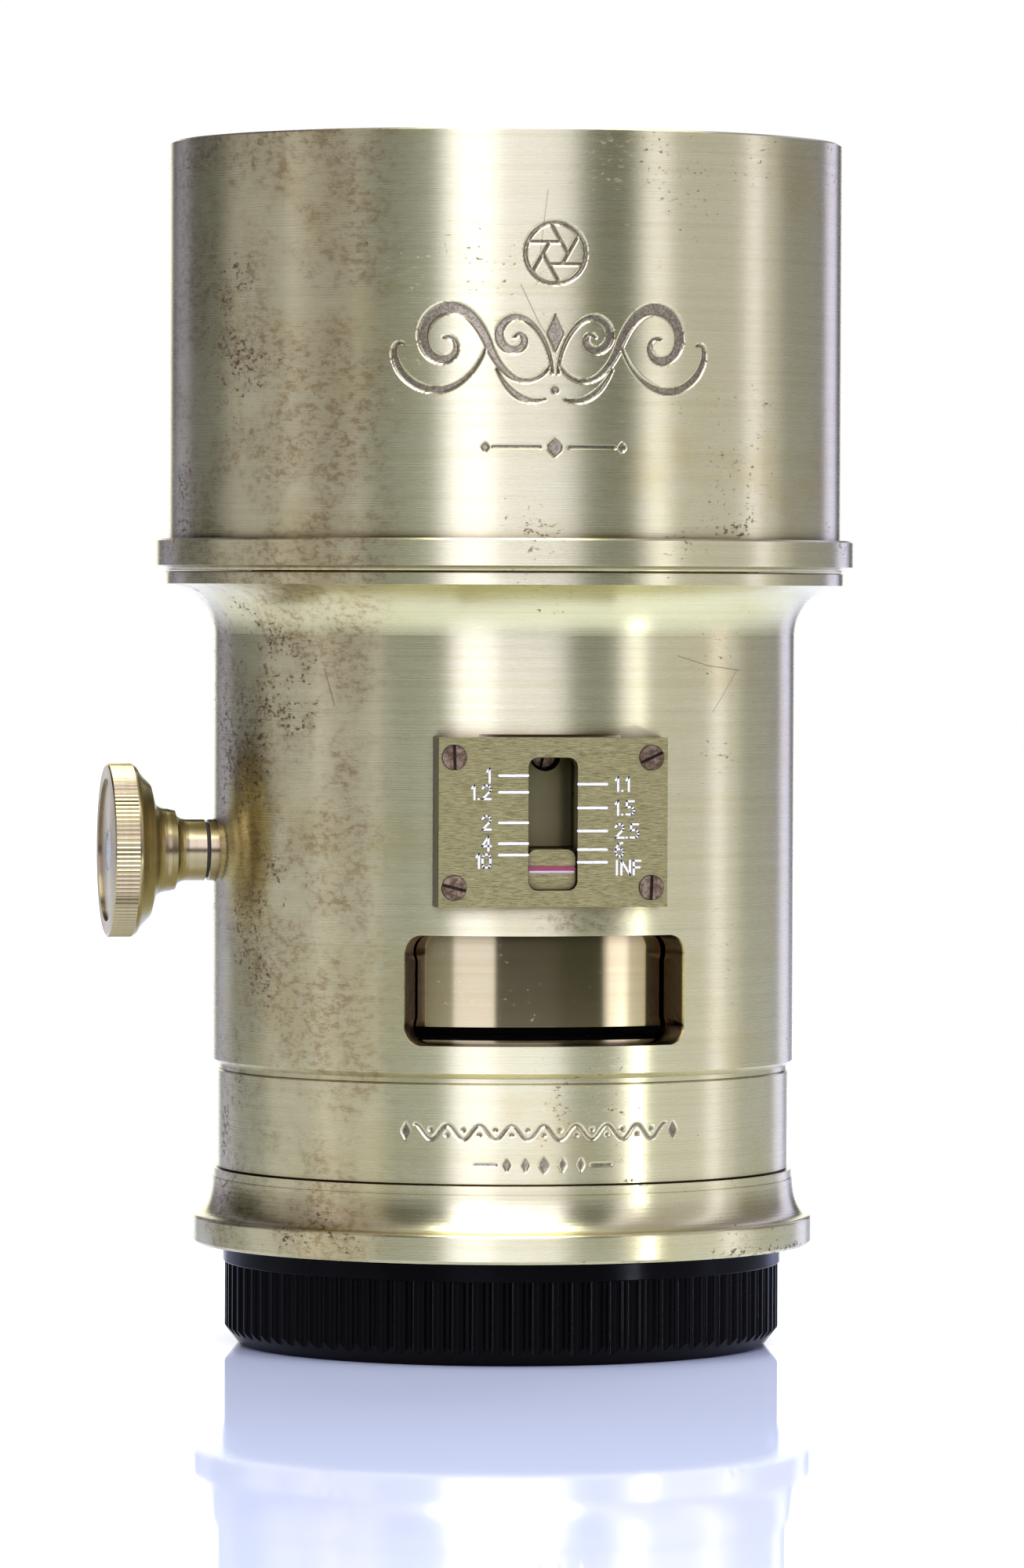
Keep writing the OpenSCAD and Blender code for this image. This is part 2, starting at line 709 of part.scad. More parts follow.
module front_cell() {
    ring_bore = glass_r + 1.4;
    skirt = lock_z - 1.8;
    color([0.16, 0.15, 0.13]) difference() {
        turned([
            [sight_r, skirt],
            [cell_r, skirt],
            [cell_r, cell_flange_z],
            [cell_flange_r, cell_flange_z],
            [cell_flange_r, filter_z],
            [filter_r + filter_wall, filter_z],
            [filter_r + filter_wall, filter_z + filter_l],
            [filter_r, filter_z + filter_l],
            [filter_r, filter_z],
            [ring_bore + 1.5, filter_z],
            [ring_bore, filter_z - 1.2],
            [ring_bore, ring_seat_z - 0.2],
            [glass_r + FIXED, ring_seat_z - 0.2],
            [glass_r + FIXED, flint_z - 0.05],
            [sight_r, flint_z - 0.05]]);
        translate([0, 0, lock_z]) rotate([90, 0, 0]) cylinder(r = 1.27, h = FAR, $fn = 48);
    }
}

module cell_lock_screw() {
    color([0.55, 0.36, 0.22]) translate([0, 0, lock_z]) rotate([90, 0, 0]) difference() {
        translate([0, 0, sight_r + 0.6]) cylinder(r = 1.22, h = tube_r - sight_r - 1.8, $fn = 48);
        rotate(75) translate([-2, -0.16, tube_r - 1.8]) cube([4, 0.32, 2]);
    }
}

module front_retaining_ring() {
    ring_bore = glass_r + 1.4;
    color([0.12, 0.11, 0.10]) difference() {
        turned([
            [sight_r, ring_seat_z],
            [ring_bore - FIXED, ring_seat_z],
            [ring_bore - FIXED, ring_seat_z + 2],
            [sight_r + 1, ring_seat_z + 2],
            [sight_r, ring_seat_z + 1]]);
        // slots for a spanner
        for (a = [0, 180]) rotate(a) translate([sight_r - 1, -0.6, ring_seat_z + 1.3]) cube([6, 1.2, 2]);
    }
}

// A sphere whose lowest point, or highest point when up is true, lies on the axis at height z
module ball(r, z, up) {
    translate([0, 0, z + (up ? -r : r)]) sphere(r);
}

module front_crown_lens() {
    color([0.75, 0.85, 0.88, 0.4]) intersection() {
        translate([0, 0, crown_z - 1]) cylinder(r = glass_r, h = crown_t + 2);
        ball(crown_front_r, crown_top, true);
        ball(cement_r, crown_z, false);
    }
}

module front_flint_lens() {
    color([0.75, 0.85, 0.80, 0.4]) difference() {
        translate([0, 0, flint_z])
            cylinder(r = glass_r, h = flint_t + sag(cement_r, glass_r));
        ball(cement_r + 0.02, crown_z - 0.04, false);
    }
}

module stop_housing() {
    z0 = rear_cell_top + FIXED;
    color([0.10, 0.10, 0.10]) difference() {
        ring(cell_r, rear_r + 1, z0, stop_z + stop_slot_h + 2);
        translate([-stop_plate_w / 2, -FAR, stop_z]) cube([stop_plate_w, FAR, stop_slot_h]);
        translate([0, 0, stop_z]) cylinder(r = stop_plate_w / 2, h = stop_slot_h);
    }
}

// Rear cell and its glasses

module rear_cell() {
    flange = tube_z - FIXED;
    color([0.16, 0.15, 0.13]) turned([
        [rear_r + FIXED, nose_z],
        [nose_r - 0.4, nose_z],
        [nose_r, nose_z + 0.4],
        [nose_r, flange - 1.4],
        [tube_r - 0.2, flange - 1.4],
        [tube_r - 0.2, flange],
        [cell_r, flange],
        [cell_r, rear_cell_top],
        [rear_sight, rear_cell_top],
        [rear_sight, rear_top_z + 0.05],
        [rear_r + FIXED, rear_top_z + 0.05]]);
}

module rear_flint_lens() {
    edge = rear_flint_z - sag(rear_flint_r, rear_r);
    color([0.75, 0.85, 0.80, 0.4]) difference() {
        translate([0, 0, edge]) cylinder(r = rear_r, h = rear_top_z - edge);
        ball(rear_flint_r, rear_flint_z, true);
    }
}

module rear_spacer() {
    inner = rear_r - 1.2;
    color([0.12, 0.11, 0.10]) turned([
        [inner, rear_crown_z - sag(rear_crown_r, inner) + 0.06],
        [rear_r, rear_crown_z - sag(rear_crown_r, rear_r) + 0.06],
        [rear_r, rear_flint_z - sag(rear_flint_r, rear_r) - 0.06],
        [inner, rear_flint_z - sag(rear_flint_r, inner) - 0.06]]);
}

module rear_crown_lens() {
    color([0.75, 0.85, 0.88, 0.4]) intersection() {
        translate([0, 0, rear_back_z - 1]) cylinder(r = rear_r, h = rear_crown_t + 2);
        ball(rear_crown_r, rear_crown_z, true);
        ball(rear_back_r, rear_back_z, false);
    }
}

module rear_retaining_ring() {
    top = rear_back_z + sag(rear_back_r, rear_sight) - 0.2;
    color([0.12, 0.11, 0.10]) difference() {
        ring(rear_r, rear_sight, nose_z + 0.2, top);
        for (a = [45, 225]) rotate(a) translate([rear_sight - 1, -0.6, nose_z - 1]) cube([6, 1.2, 1.7]);
    }
}

// Rear cap

flute_r = 0.9;
flute_depth = 0.6;
cap_band_h = 2;

module rear_cap() {
    chamfer_h = 1.9;
    lug_z = tab_z + tab_h + FREE;
    lug_h = mount_z - lug_z - 1;
    grip_r = cap_r - 0.2;
    color([0.05, 0.05, 0.05]) difference() {
        union() {
            intersection() {
                turned([
                    [0, 0],
                    [grip_r - 1.5, 0],
                    [grip_r, chamfer_h],
                    [grip_r, cap_h - cap_band_h],
                    [0, cap_h - cap_band_h]]);
                linear_extrude(cap_h) difference() {
                    circle(grip_r + 1);
                    for (i = [0:flute_count - 1]) rotate(i * 360 / flute_count)
                        translate([grip_r + flute_r - flute_depth, 0]) circle(flute_r, $fn = 32);
                }
            }
            turned([
                [0, cap_h - cap_band_h],
                [cap_r - 0.1, cap_h - cap_band_h],
                [cap_r, cap_h - cap_band_h + 0.1],
                [cap_r, cap_h - 0.3],
                [cap_r - 0.3, cap_h],
                [0, cap_h]]);
        }
        difference() {
            translate([0, 0, cap_floor]) cylinder(r = cap_bore, h = cap_h);
            for (i = [0:2]) rotate(90 + 120 * i) intersection() {
                ring(cap_bore + 1, bayonet_r + FREE, lug_z, lug_z + lug_h);
                wedge(25, cap_bore + 2, lug_z - 1, lug_z + lug_h + 1);
            }
        }
    }
}

outer_barrel();
lower_ring();
mount_collar();
bayonet_mount();
mount_screws();
scale_plate();
scale_plate_screws();
pinion_bush();
friction_washer();
guide_key();
guide_key_screws();
inner_tube();
focus_rack();
rack_screws();
pointer_block();
pointer_screw();
hood_base();
hood();
front_cell();
front_retaining_ring();
front_crown_lens();
front_flint_lens();
cell_lock_screw();
stop_housing();
rear_cell();
rear_flint_lens();
rear_spacer();
rear_crown_lens();
rear_retaining_ring();
focus_knob();
pinion_shaft();
drive_pinion();
knob_screw();
rear_cap();
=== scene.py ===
"""Brass portrait lens: materials, engraving, studio and camera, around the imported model."""

import math

import bmesh
import bpy
import numpy as np
from mathutils import Matrix, Vector


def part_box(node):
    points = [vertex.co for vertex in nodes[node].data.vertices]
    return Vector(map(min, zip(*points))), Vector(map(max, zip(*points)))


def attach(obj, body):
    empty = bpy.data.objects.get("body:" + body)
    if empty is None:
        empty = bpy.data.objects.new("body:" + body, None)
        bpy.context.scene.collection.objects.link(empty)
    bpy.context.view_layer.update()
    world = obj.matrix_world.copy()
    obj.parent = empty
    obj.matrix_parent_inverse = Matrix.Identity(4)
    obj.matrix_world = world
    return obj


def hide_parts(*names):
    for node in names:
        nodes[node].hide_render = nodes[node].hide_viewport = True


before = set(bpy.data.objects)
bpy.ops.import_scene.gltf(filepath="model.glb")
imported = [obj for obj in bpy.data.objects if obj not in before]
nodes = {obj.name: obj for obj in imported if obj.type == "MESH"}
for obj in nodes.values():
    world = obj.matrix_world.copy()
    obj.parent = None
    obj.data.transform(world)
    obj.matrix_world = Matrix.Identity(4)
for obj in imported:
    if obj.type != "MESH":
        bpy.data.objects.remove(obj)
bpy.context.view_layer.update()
MM = 0.001


def low(node):
    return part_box(node)[0]


def high(node):
    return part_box(node)[1]


# ---------------------------------------------------------------- the photograph's view

CAMERA_AZIMUTH = -9.2      # degrees, towards the knob from the middle of the scale
CAMERA_DISTANCE = 856 * MM
EYE_HEIGHT = 78.7 * MM
PITCH_DOWN = 1.367         # degrees
ROLL = 0.22                # degrees, the picture leans to the right
YAW_RIGHT = 0.062          # degrees, the axis stands left of the picture's middle
FOCAL_MM = 188.5
SENSOR_MM = 36.0


def make_camera():
    data = bpy.data.cameras.new("camera")
    data.sensor_width = SENSOR_MM
    data.lens = FOCAL_MM
    data.clip_start, data.clip_end = 0.01, 20
    camera = bpy.data.objects.new("camera", data)
    bpy.context.scene.collection.objects.link(camera)
    azimuth = math.radians(CAMERA_AZIMUTH)
    place = Vector((math.sin(azimuth), -math.cos(azimuth), 0)) * CAMERA_DISTANCE
    place.z = EYE_HEIGHT
    heading = azimuth - math.radians(YAW_RIGHT)
    pitch = math.radians(90 - PITCH_DOWN)
    turn = Matrix.Rotation(heading, 4, "Z") @ Matrix.Rotation(pitch, 4, "X")
    turn = turn @ Matrix.Rotation(math.radians(ROLL), 4, "Z")
    camera.matrix_world = Matrix.Translation(place) @ turn
    bpy.context.scene.camera = camera


# ---------------------------------------------------------------- node helpers


class Shade:
    """Builds one procedural material round a Principled shader."""

    def __init__(self, name, **sockets):
        self.material = bpy.data.materials.new(name)
        self.material.use_nodes = True
        self.tree = self.material.node_tree
        self.bsdf = self.tree.nodes["Principled BSDF"]
        for socket, value in sockets.items():
            self.bsdf.inputs[socket.replace("_", " ")].default_value = value
        self.coordinates = self.add("ShaderNodeTexCoord").outputs["Object"]
        scaled = self.add("ShaderNodeVectorMath", operation="SCALE")
        self.feed(scaled.inputs[0], self.coordinates)
        scaled.inputs["Scale"].default_value = 1 / MM
        self.mm = scaled.outputs[0]
        split = self.add("ShaderNodeSeparateXYZ")
        self.feed(split.inputs[0], self.mm)
        self.x, self.y, self.z = split.outputs

    def add(self, kind, **settings):
        node = self.tree.nodes.new(kind)
        for key, value in settings.items():
            setattr(node, key, value)
        return node

    def feed(self, socket, value):
        if hasattr(value, "is_linked"):
            self.tree.links.new(value, socket)
        else:
            socket.default_value = value

    def math(self, operation, *values, clamp=False):
        node = self.add("ShaderNodeMath", operation=operation, use_clamp=clamp)
        for socket, value in zip(node.inputs, values):
            self.feed(socket, value)
        return node.outputs[0]

    def vector(self, x, y, z):
        node = self.add("ShaderNodeCombineXYZ")
        for socket, value in zip(node.inputs, (x, y, z)):
            self.feed(socket, value)
        return node.outputs[0]

    def noise(self, vector, scale, detail=4.0, roughness=0.55):
        node = self.add("ShaderNodeTexNoise")
        self.feed(node.inputs["Vector"], vector)
        node.inputs["Scale"].default_value = scale
        node.inputs["Detail"].default_value = detail
        node.inputs["Roughness"].default_value = roughness
        return node.outputs["Fac"]

    def step(self, value, start, end, low=0.0, high=1.0):
        """A smooth step of value, from low at start to high at end."""
        node = self.add("ShaderNodeMapRange", interpolation_type="SMOOTHSTEP")
        for socket, item in zip(node.inputs, (value, start, end, low, high)):
            self.feed(socket, item)
        return node.outputs[0]

    def mix(self, factor, a, b):
        node = self.add("ShaderNodeMix", data_type="RGBA")
        self.feed(node.inputs[0], factor)
        for socket, value in ((node.inputs[6], a), (node.inputs[7], b)):
            self.feed(socket, value if hasattr(value, "is_linked") else (*value, 1.0))
        return node.outputs[2]

    def fade(self, mask, strength, tone, over):
        """tone with the colour over laid on it where mask is 1, as strongly as strength."""
        return self.mix(self.math("MULTIPLY", mask, strength), tone, over)

    def bump(self, height, distance_mm, strength=1.0, normal=None):
        node = self.add("ShaderNodeBump")
        node.inputs["Strength"].default_value = strength
        node.inputs["Distance"].default_value = distance_mm * MM
        self.feed(node.inputs["Height"], height)
        if normal is not None:
            self.feed(node.inputs["Normal"], normal)
        return node.outputs[0]

    def length(self, a, b):
        squares = [self.math("MULTIPLY", side, side) for side in (a, b)]
        return self.math("SQRT", self.math("ADD", *squares))

    def radius(self):
        return self.length(self.x, self.y)

    def scratch(self, radius, start, end, width):
        """A hair line between two points, each in degrees round from the scale and mm up."""
        around = self.math("ARCTAN2", self.x, self.math("MULTIPLY", self.y, -1.0))
        u = self.math("MULTIPLY", around, radius)
        ax, bx = (math.radians(point[0]) * radius for point in (start, end))
        run, rise = bx - ax, end[1] - start[1]
        square = run * run + rise * rise
        du, dv = self.math("SUBTRACT", u, ax), self.math("SUBTRACT", self.z, start[1])
        t = self.math("ADD", self.math("MULTIPLY", du, run / square),
                      self.math("MULTIPLY", dv, rise / square), clamp=True)
        gu = self.math("SUBTRACT", du, self.math("MULTIPLY", t, run))
        gv = self.math("SUBTRACT", dv, self.math("MULTIPLY", t, rise))
        return self.step(self.length(gu, gv), width, width * 0.4)

    def hollow_shade(self, reach_mm, start, end):
        """Painted shade: 1 deep in gaps and corners, where little light reaches, and 0 on open
        faces.
        """
        node = self.add("ShaderNodeAmbientOcclusion", samples=6)
        node.inputs["Distance"].default_value = reach_mm * MM
        return self.step(node.outputs["AO"], start, end, 1.0, 0.0)

    def band(self, value, centre, half, soft):
        """1 within half of centre, fading to 0 over soft."""
        away = self.math("ABSOLUTE", self.math("SUBTRACT", value, centre))
        return self.step(away, half + soft, half)

    def set(self, **sockets):
        for socket, value in sockets.items():
            self.feed(self.bsdf.inputs[socket.replace("_", " ")], value)
        return self.material


def apply(material, *names):
    for name in names:
        mesh = nodes[name].data
        mesh.materials.clear()
        mesh.materials.append(material)


# ---------------------------------------------------------------- brass


def lathe_lines(shade, axis, centre_z, spread=0.05, pitch=5.0):
    """Coordinates that run slowly round a turned piece and fast along its profile."""
    if axis == "Z":
        across, along = (shade.x, shade.y), shade.z
    else:
        across, along = (shade.y, shade.math("SUBTRACT", shade.z, centre_z)), shade.x
    radius = shade.length(*across)
    profile = shade.math("ADD", along, shade.math("MULTIPLY", radius, 1.3))
    slow = [shade.math("MULTIPLY", a, spread) for a in across]
    return shade.vector(*slow, shade.math("MULTIPLY", profile, pitch))


def tarnish_mask(shade, amount, fine=1.4):
    """Clusters of small brown spots; amount is 0 to 1 or a socket."""
    region = shade.noise(shade.mm, 0.055, 3.0, 0.6)
    region = shade.step(region, 0.46, 0.66)
    region = shade.math("MULTIPLY", region, amount)
    stretched = shade.vector(shade.x, shade.y, shade.math("MULTIPLY", shade.z, 1.5))
    specks = shade.noise(stretched, fine, 6.0, 0.72)
    limit = shade.math("SUBTRACT", 0.70, shade.math("MULTIPLY", region, 0.18))
    return shade.step(specks, limit, shade.math("ADD", limit, 0.05))


CHAMPAGNE = (0.68, 0.625, 0.325)
GOLD = (0.80, 0.68, 0.32)
KNOB_GOLD = (0.42, 0.345, 0.17)
PLATE_OLIVE = (0.28, 0.25, 0.095)
HOOD_R = 35.0              # mm
BARREL_R = 30.28
PLATE_FOOT = 45.2          # mm up, where dirt has gathered under the scale plate
WINDOWS = (54.0, 23.0)     # mm up, the middle and half height of both windows of the barrel
# Hair scratches: radius they lie at, start and end as (degrees, height), half width in mm
SCRATCHES = (
    (HOOD_R, (-6.6, 109.0), (-3.6, 105.2), 0.07),
    (HOOD_R, (-3.6, 105.2), (-1.2, 103.0), 0.06),
    (HOOD_R, (-2.2, 118.5), (-3.4, 112.5), 0.05),
    (BARREL_R, (26.4, 71.9), (34.0, 70.9), 0.06),
    (BARREL_R, (34.0, 70.9), (43.5, 70.4), 0.07),
    (BARREL_R, (42.5, 70.4), (35.5, 66.2), 0.06),
    (BARREL_R, (-46.0, 70.5), (-43.6, 66.8), 0.10),
)


def scaled(colour, factors):
    return tuple(c * k for c, k in zip(colour, factors))


def wear_and_window_shade(shade, tone, amount):
    """Tarnish on the left and under the plate, scratches, and painted shade on the walls inside
    the windows.
    """
    left = shade.band(shade.x, -28.5, 8.0, 7.0)
    left = shade.math("MULTIPLY", left, shade.step(shade.y, 6.0, -6.0))
    patches = shade.noise(shade.mm, 0.10, 4.0, 0.6)
    haze = shade.math("MULTIPLY", left, shade.step(patches, 0.36, 0.56))
    under_plate = shade.band(shade.x, 3.0, 1.5, 5.0)
    under_plate = shade.math("MULTIPLY", under_plate, shade.band(shade.z, PLATE_FOOT, 0.5, 1.2))
    haze = shade.math("ADD", haze, shade.math("MULTIPLY", under_plate, 0.8), clamp=True)
    amount = shade.math("ADD", amount, shade.math("MULTIPLY", haze, 0.7), clamp=True)
    stretched = shade.vector(shade.x, shade.y, shade.math("MULTIPLY", shade.z, 1.6))
    smear = shade.noise(stretched, 0.9, 8.0, 0.8)
    smear = shade.math("MULTIPLY", shade.step(smear, 0.475, 0.585), haze)
    tone = shade.fade(smear, 0.9, tone, (0.30, 0.20, 0.055))
    tone = shade.fade(haze, 0.30, tone, (0.42, 0.33, 0.16))
    tone = shade.fade(left, 0.16, tone, (0.46, 0.37, 0.20))
    for radius, start, end, width in SCRATCHES:
        hair = shade.scratch(radius, start, end, width)
        tone = shade.fade(hair, 0.75, tone, (0.20, 0.16, 0.10))
    # Painted shade: the walls of the windows and the barrel's inside between their heights turn
    # nearly black.
    inner = shade.step(shade.radius(), BARREL_R - 0.12, BARREL_R - 0.45)
    inner = shade.math("MULTIPLY", inner, shade.band(shade.z, *WINDOWS, 1.0))
    return shade.fade(inner, 0.96, tone, (0.014, 0.007, 0.003)), amount


def turned_brass(name, colour, roughness=0.25, axis="Z", centre_z=0.0, tarnish=0.6,
                 joints=(), line_depth=0.004, aniso=0.9, wear_and_shade=False, shaded_x=()):
    """Satin brass with fine turning lines, soft blotches and brown spots.

    joints are the heights, with a reach, where tarnish gathers; the wear and shade switch adds the
    scratches, the heavier tarnish on the left of the hood and barrel, and painted shade on the
    walls inside the windows; shaded_x are the distances from the middle over which painted shade
    closes in on the tube behind the stop window, and it also adds a darker, rougher strip that
    shows in the window of the scale. Painted shade also darkens gaps and corners."""
    shade = Shade(name, Metallic=1.0, Anisotropic=aniso, Anisotropic_Rotation=0.25)
    lines = shade.noise(lathe_lines(shade, axis, centre_z, 0.03, 9.0), 1.0, 4.0, 0.75)
    coarse = shade.noise(lathe_lines(shade, axis, centre_z, 0.015, 1.6), 1.0, 3.0, 0.6)
    cloud = shade.noise(shade.mm, 0.07, 4.0, 0.6)
    amount = tarnish
    for joint_z, half in joints:
        near = shade.band(shade.z, joint_z, 0.0, half)
        amount = shade.math("ADD", amount, shade.math("MULTIPLY", near, 0.9), clamp=True)
    tone = shade.mix(shade.step(coarse, 0.4, 0.7), colour, scaled(colour, (0.94, 0.93, 0.88)))
    warm = scaled(colour, (0.90, 0.83, 0.66))
    tone = shade.mix(shade.step(cloud, 0.50, 0.74, 0.0, 0.8), tone, warm)
    fine = scaled(colour, (0.80, 0.80, 0.80))
    tone = shade.mix(shade.step(lines, 0.50, 0.70, 0.0, 0.5), tone, fine)
    if wear_and_shade:
        tone, amount = wear_and_window_shade(shade, tone, amount)
    spots = tarnish_mask(shade, amount)
    tone = shade.fade(spots, 0.85, tone, (0.16, 0.095, 0.035))
    # Painted shade: gaps and corners darkened to a dark brown.
    tone = shade.fade(shade.hollow_shade(2.5, 0.30, 0.85), 0.85, tone, (0.13, 0.075, 0.03))
    cut = shade.add("ShaderNodeAttribute", attribute_name="engraved").outputs["Fac"]
    etched = shade.noise(shade.mm, 4.0, 3.0, 0.6)
    etched = shade.mix(shade.step(etched, 0.35, 0.65), (0.13, 0.10, 0.06), (0.30, 0.25, 0.16))
    tone = shade.fade(cut, 0.9, tone, etched)
    rough = shade.math("ADD", roughness, shade.math("MULTIPLY", spots, 0.25))
    if shaded_x:
        # Painted shade: the front of the tube turns dark brown towards both sides, from the first
        # to the second distance of shaded_x.
        front = shade.step(shade.y, 0.0, -5.0)
        away = shade.math("ABSOLUTE", shade.x)
        side = shade.math("MULTIPLY", shade.step(away, *shaded_x), front)
        tone = shade.fade(side, 0.92, tone, (0.27, 0.135, 0.035))
        # A darker, rougher strip up the middle of the tube's front, from about 47 mm up, which
        # shows in the window of the scale.
        dark_strip = shade.math("MULTIPLY", shade.band(shade.x, 0.0, 3.6, 0.8), front)
        dark_strip = shade.math("MULTIPLY", dark_strip, shade.step(shade.z, 46.5, 47.5))
        tone = shade.fade(dark_strip, 0.95, tone, (0.098, 0.086, 0.030))
        rough = shade.math("ADD", rough, shade.math("MULTIPLY", dark_strip, 0.32))
    rough = shade.math("ADD", rough, shade.math("MULTIPLY", lines, 0.05))
    rough = shade.math("ADD", rough, shade.math("MULTIPLY", cut, 0.15))
    bumped = shade.bump(lines, line_depth)
    bumped = shade.bump(shade.math("MULTIPLY", spots, -1.0), 0.01, 0.6, bumped)
    tangent = shade.add("ShaderNodeTangent", direction_type="RADIAL", axis=axis)
    return shade.set(Base_Color=tone, Roughness=rough, Normal=bumped, Tangent=tangent.outputs[0])


def brushed_plate(name, colour):
    """Coarsely brushed flat brass, the strokes running across, with painted shade on its left
    side.
    """
    shade = Shade(name, Metallic=1.0, Anisotropic=0.6)
    stroke = shade.vector(shade.math("MULTIPLY", shade.x, 0.42), shade.y,
                          shade.math("MULTIPLY", shade.z, 7.0))
    lines = shade.noise(stroke, 1.9, 7.0, 0.85)
    patch = shade.noise(stroke, 0.30, 4.0, 0.6)
    tone = shade.mix(shade.step(lines, 0.36, 0.62), scaled(colour, (0.42, 0.40, 0.32)),
                     scaled(colour, (1.5, 1.48, 1.5)))
    tone = shade.mix(shade.step(patch, 0.4, 0.7, 0.0, 0.4), tone, colour)
    spots = tarnish_mask(shade, 0.35, 2.2)
    tone = shade.fade(spots, 0.7, tone, (0.16, 0.09, 0.04))
    # Painted shade: gaps and corners of the plate darkened.
    tone = shade.fade(shade.hollow_shade(1.2, 0.40, 0.88), 0.85, tone, (0.05, 0.035, 0.018))
    # Painted shade: the plate's left side face, and the front's edge next to it, turn nearly
    # black.
    side = low("scale_plate").x / MM
    tone = shade.mix(shade.step(shade.x, side + 0.08, side + 0.03), tone, (0.035, 0.025, 0.012))
    rough = shade.math("ADD", 0.26, shade.math("MULTIPLY", lines, 0.2))
    along = shade.vector(0.02, 0.03, 1.0)
    return shade.set(Base_Color=tone, Roughness=rough, Normal=shade.bump(lines, 0.02),
                     Tangent=along)


def dark_screws():
    """Copper-brown screws, with wear where the driver and fingers have rubbed, and painted shade
    in the slot.
    """
    shade = Shade("copper_screws", Metallic=1.0)
    wear = shade.noise(shade.mm, 1.6, 5.0, 0.7)
    tone = shade.mix(shade.step(wear, 0.4, 0.62), (0.15, 0.095, 0.045), (0.36, 0.265, 0.15))
    # Painted shade: the slots and the edges under the heads darkened nearly to black.
    tone = shade.fade(shade.hollow_shade(0.9, 0.55, 0.92), 0.95, tone, (0.03, 0.018, 0.01))
    rough = shade.math("ADD", 0.26, shade.math("MULTIPLY", wear, 0.2))
    return shade.set(Base_Color=tone, Roughness=rough, Normal=shade.bump(wear, 0.012))


def plain_steel():
    """Satin steel of the bayonet, the shaft and its screw."""
    shade = Shade("mount_steel", Metallic=1.0)
    grain = shade.noise(lathe_lines(shade, "Z", 0.0), 1.0, 4.0, 0.7)
    tone = shade.mix(grain, (0.52, 0.52, 0.54), (0.66, 0.66, 0.67))
    return shade.set(Base_Color=tone, Roughness=shade.step(grain, 0.2, 0.8, 0.22, 0.36),
                     Normal=shade.bump(grain, 0.004))


def black_anodised():
    """Matt black inner metal with faint turning rings."""
    shade = Shade("black_anodised", Metallic=0.0, Specular_IOR_Level=0.45)
    rings = shade.noise(lathe_lines(shade, "Z", 0.0, 0.05, 4.0), 1.0, 3.0, 0.6)
    dust = shade.noise(shade.mm, 2.5, 5.0, 0.7)
    tone = shade.mix(rings, (0.010, 0.010, 0.010), (0.024, 0.023, 0.022))
    tone = shade.mix(shade.step(dust, 0.70, 0.78, 0.0, 0.5), tone, (0.10, 0.10, 0.095))
    return shade.set(Base_Color=tone, Roughness=shade.step(rings, 0.2, 0.8, 0.36, 0.52),
                     Normal=shade.bump(rings, 0.02))


def coated_glass():
    """Optical glass with a faint coating."""
    shade = Shade("coated_glass", Transmission_Weight=1.0, IOR=1.55)
    shade.bsdf.inputs["Thin Film Thickness"].default_value = 130.0
    shade.bsdf.inputs["Thin Film IOR"].default_value = 1.38
    haze = shade.noise(shade.mm, 0.6, 4.0, 0.6)
    tone = shade.mix(haze, (0.93, 0.96, 0.95), (0.97, 0.98, 0.98))
    return shade.set(Base_Color=tone, Roughness=shade.step(haze, 0.45, 0.8, 0.0, 0.03))


def cap_plastic():
    """Black moulded plastic, faintly textured, with light rubbing and dust."""
    shade = Shade("cap_plastic", Specular_IOR_Level=0.05)
    grain = shade.noise(shade.mm, 5.0, 4.0, 0.7)
    rub = shade.noise(shade.mm, 0.25, 4.0, 0.6)
    tone = shade.mix(grain, (0.0012, 0.0011, 0.0008), (0.0030, 0.0027, 0.0020))
    dust = shade.step(shade.noise(shade.mm, 3.2, 6.0, 0.8), 0.70, 0.78, 0.0, 0.35)
    tone = shade.mix(dust, tone, (0.10, 0.10, 0.10))
    rough = shade.step(rub, 0.3, 0.7, 0.12, 0.22)
    return shade.set(Base_Color=tone, Roughness=rough, Normal=shade.bump(grain, 0.003))


def washer_fibre():
    shade = Shade("black_fibre")
    grain = shade.noise(shade.mm, 6.0, 5.0, 0.8)
    tone = shade.mix(grain, (0.02, 0.018, 0.015), (0.07, 0.06, 0.05))
    return shade.set(Base_Color=tone, Roughness=shade.step(grain, 0.2, 0.8, 0.6, 0.9),
                     Normal=shade.bump(grain, 0.03))


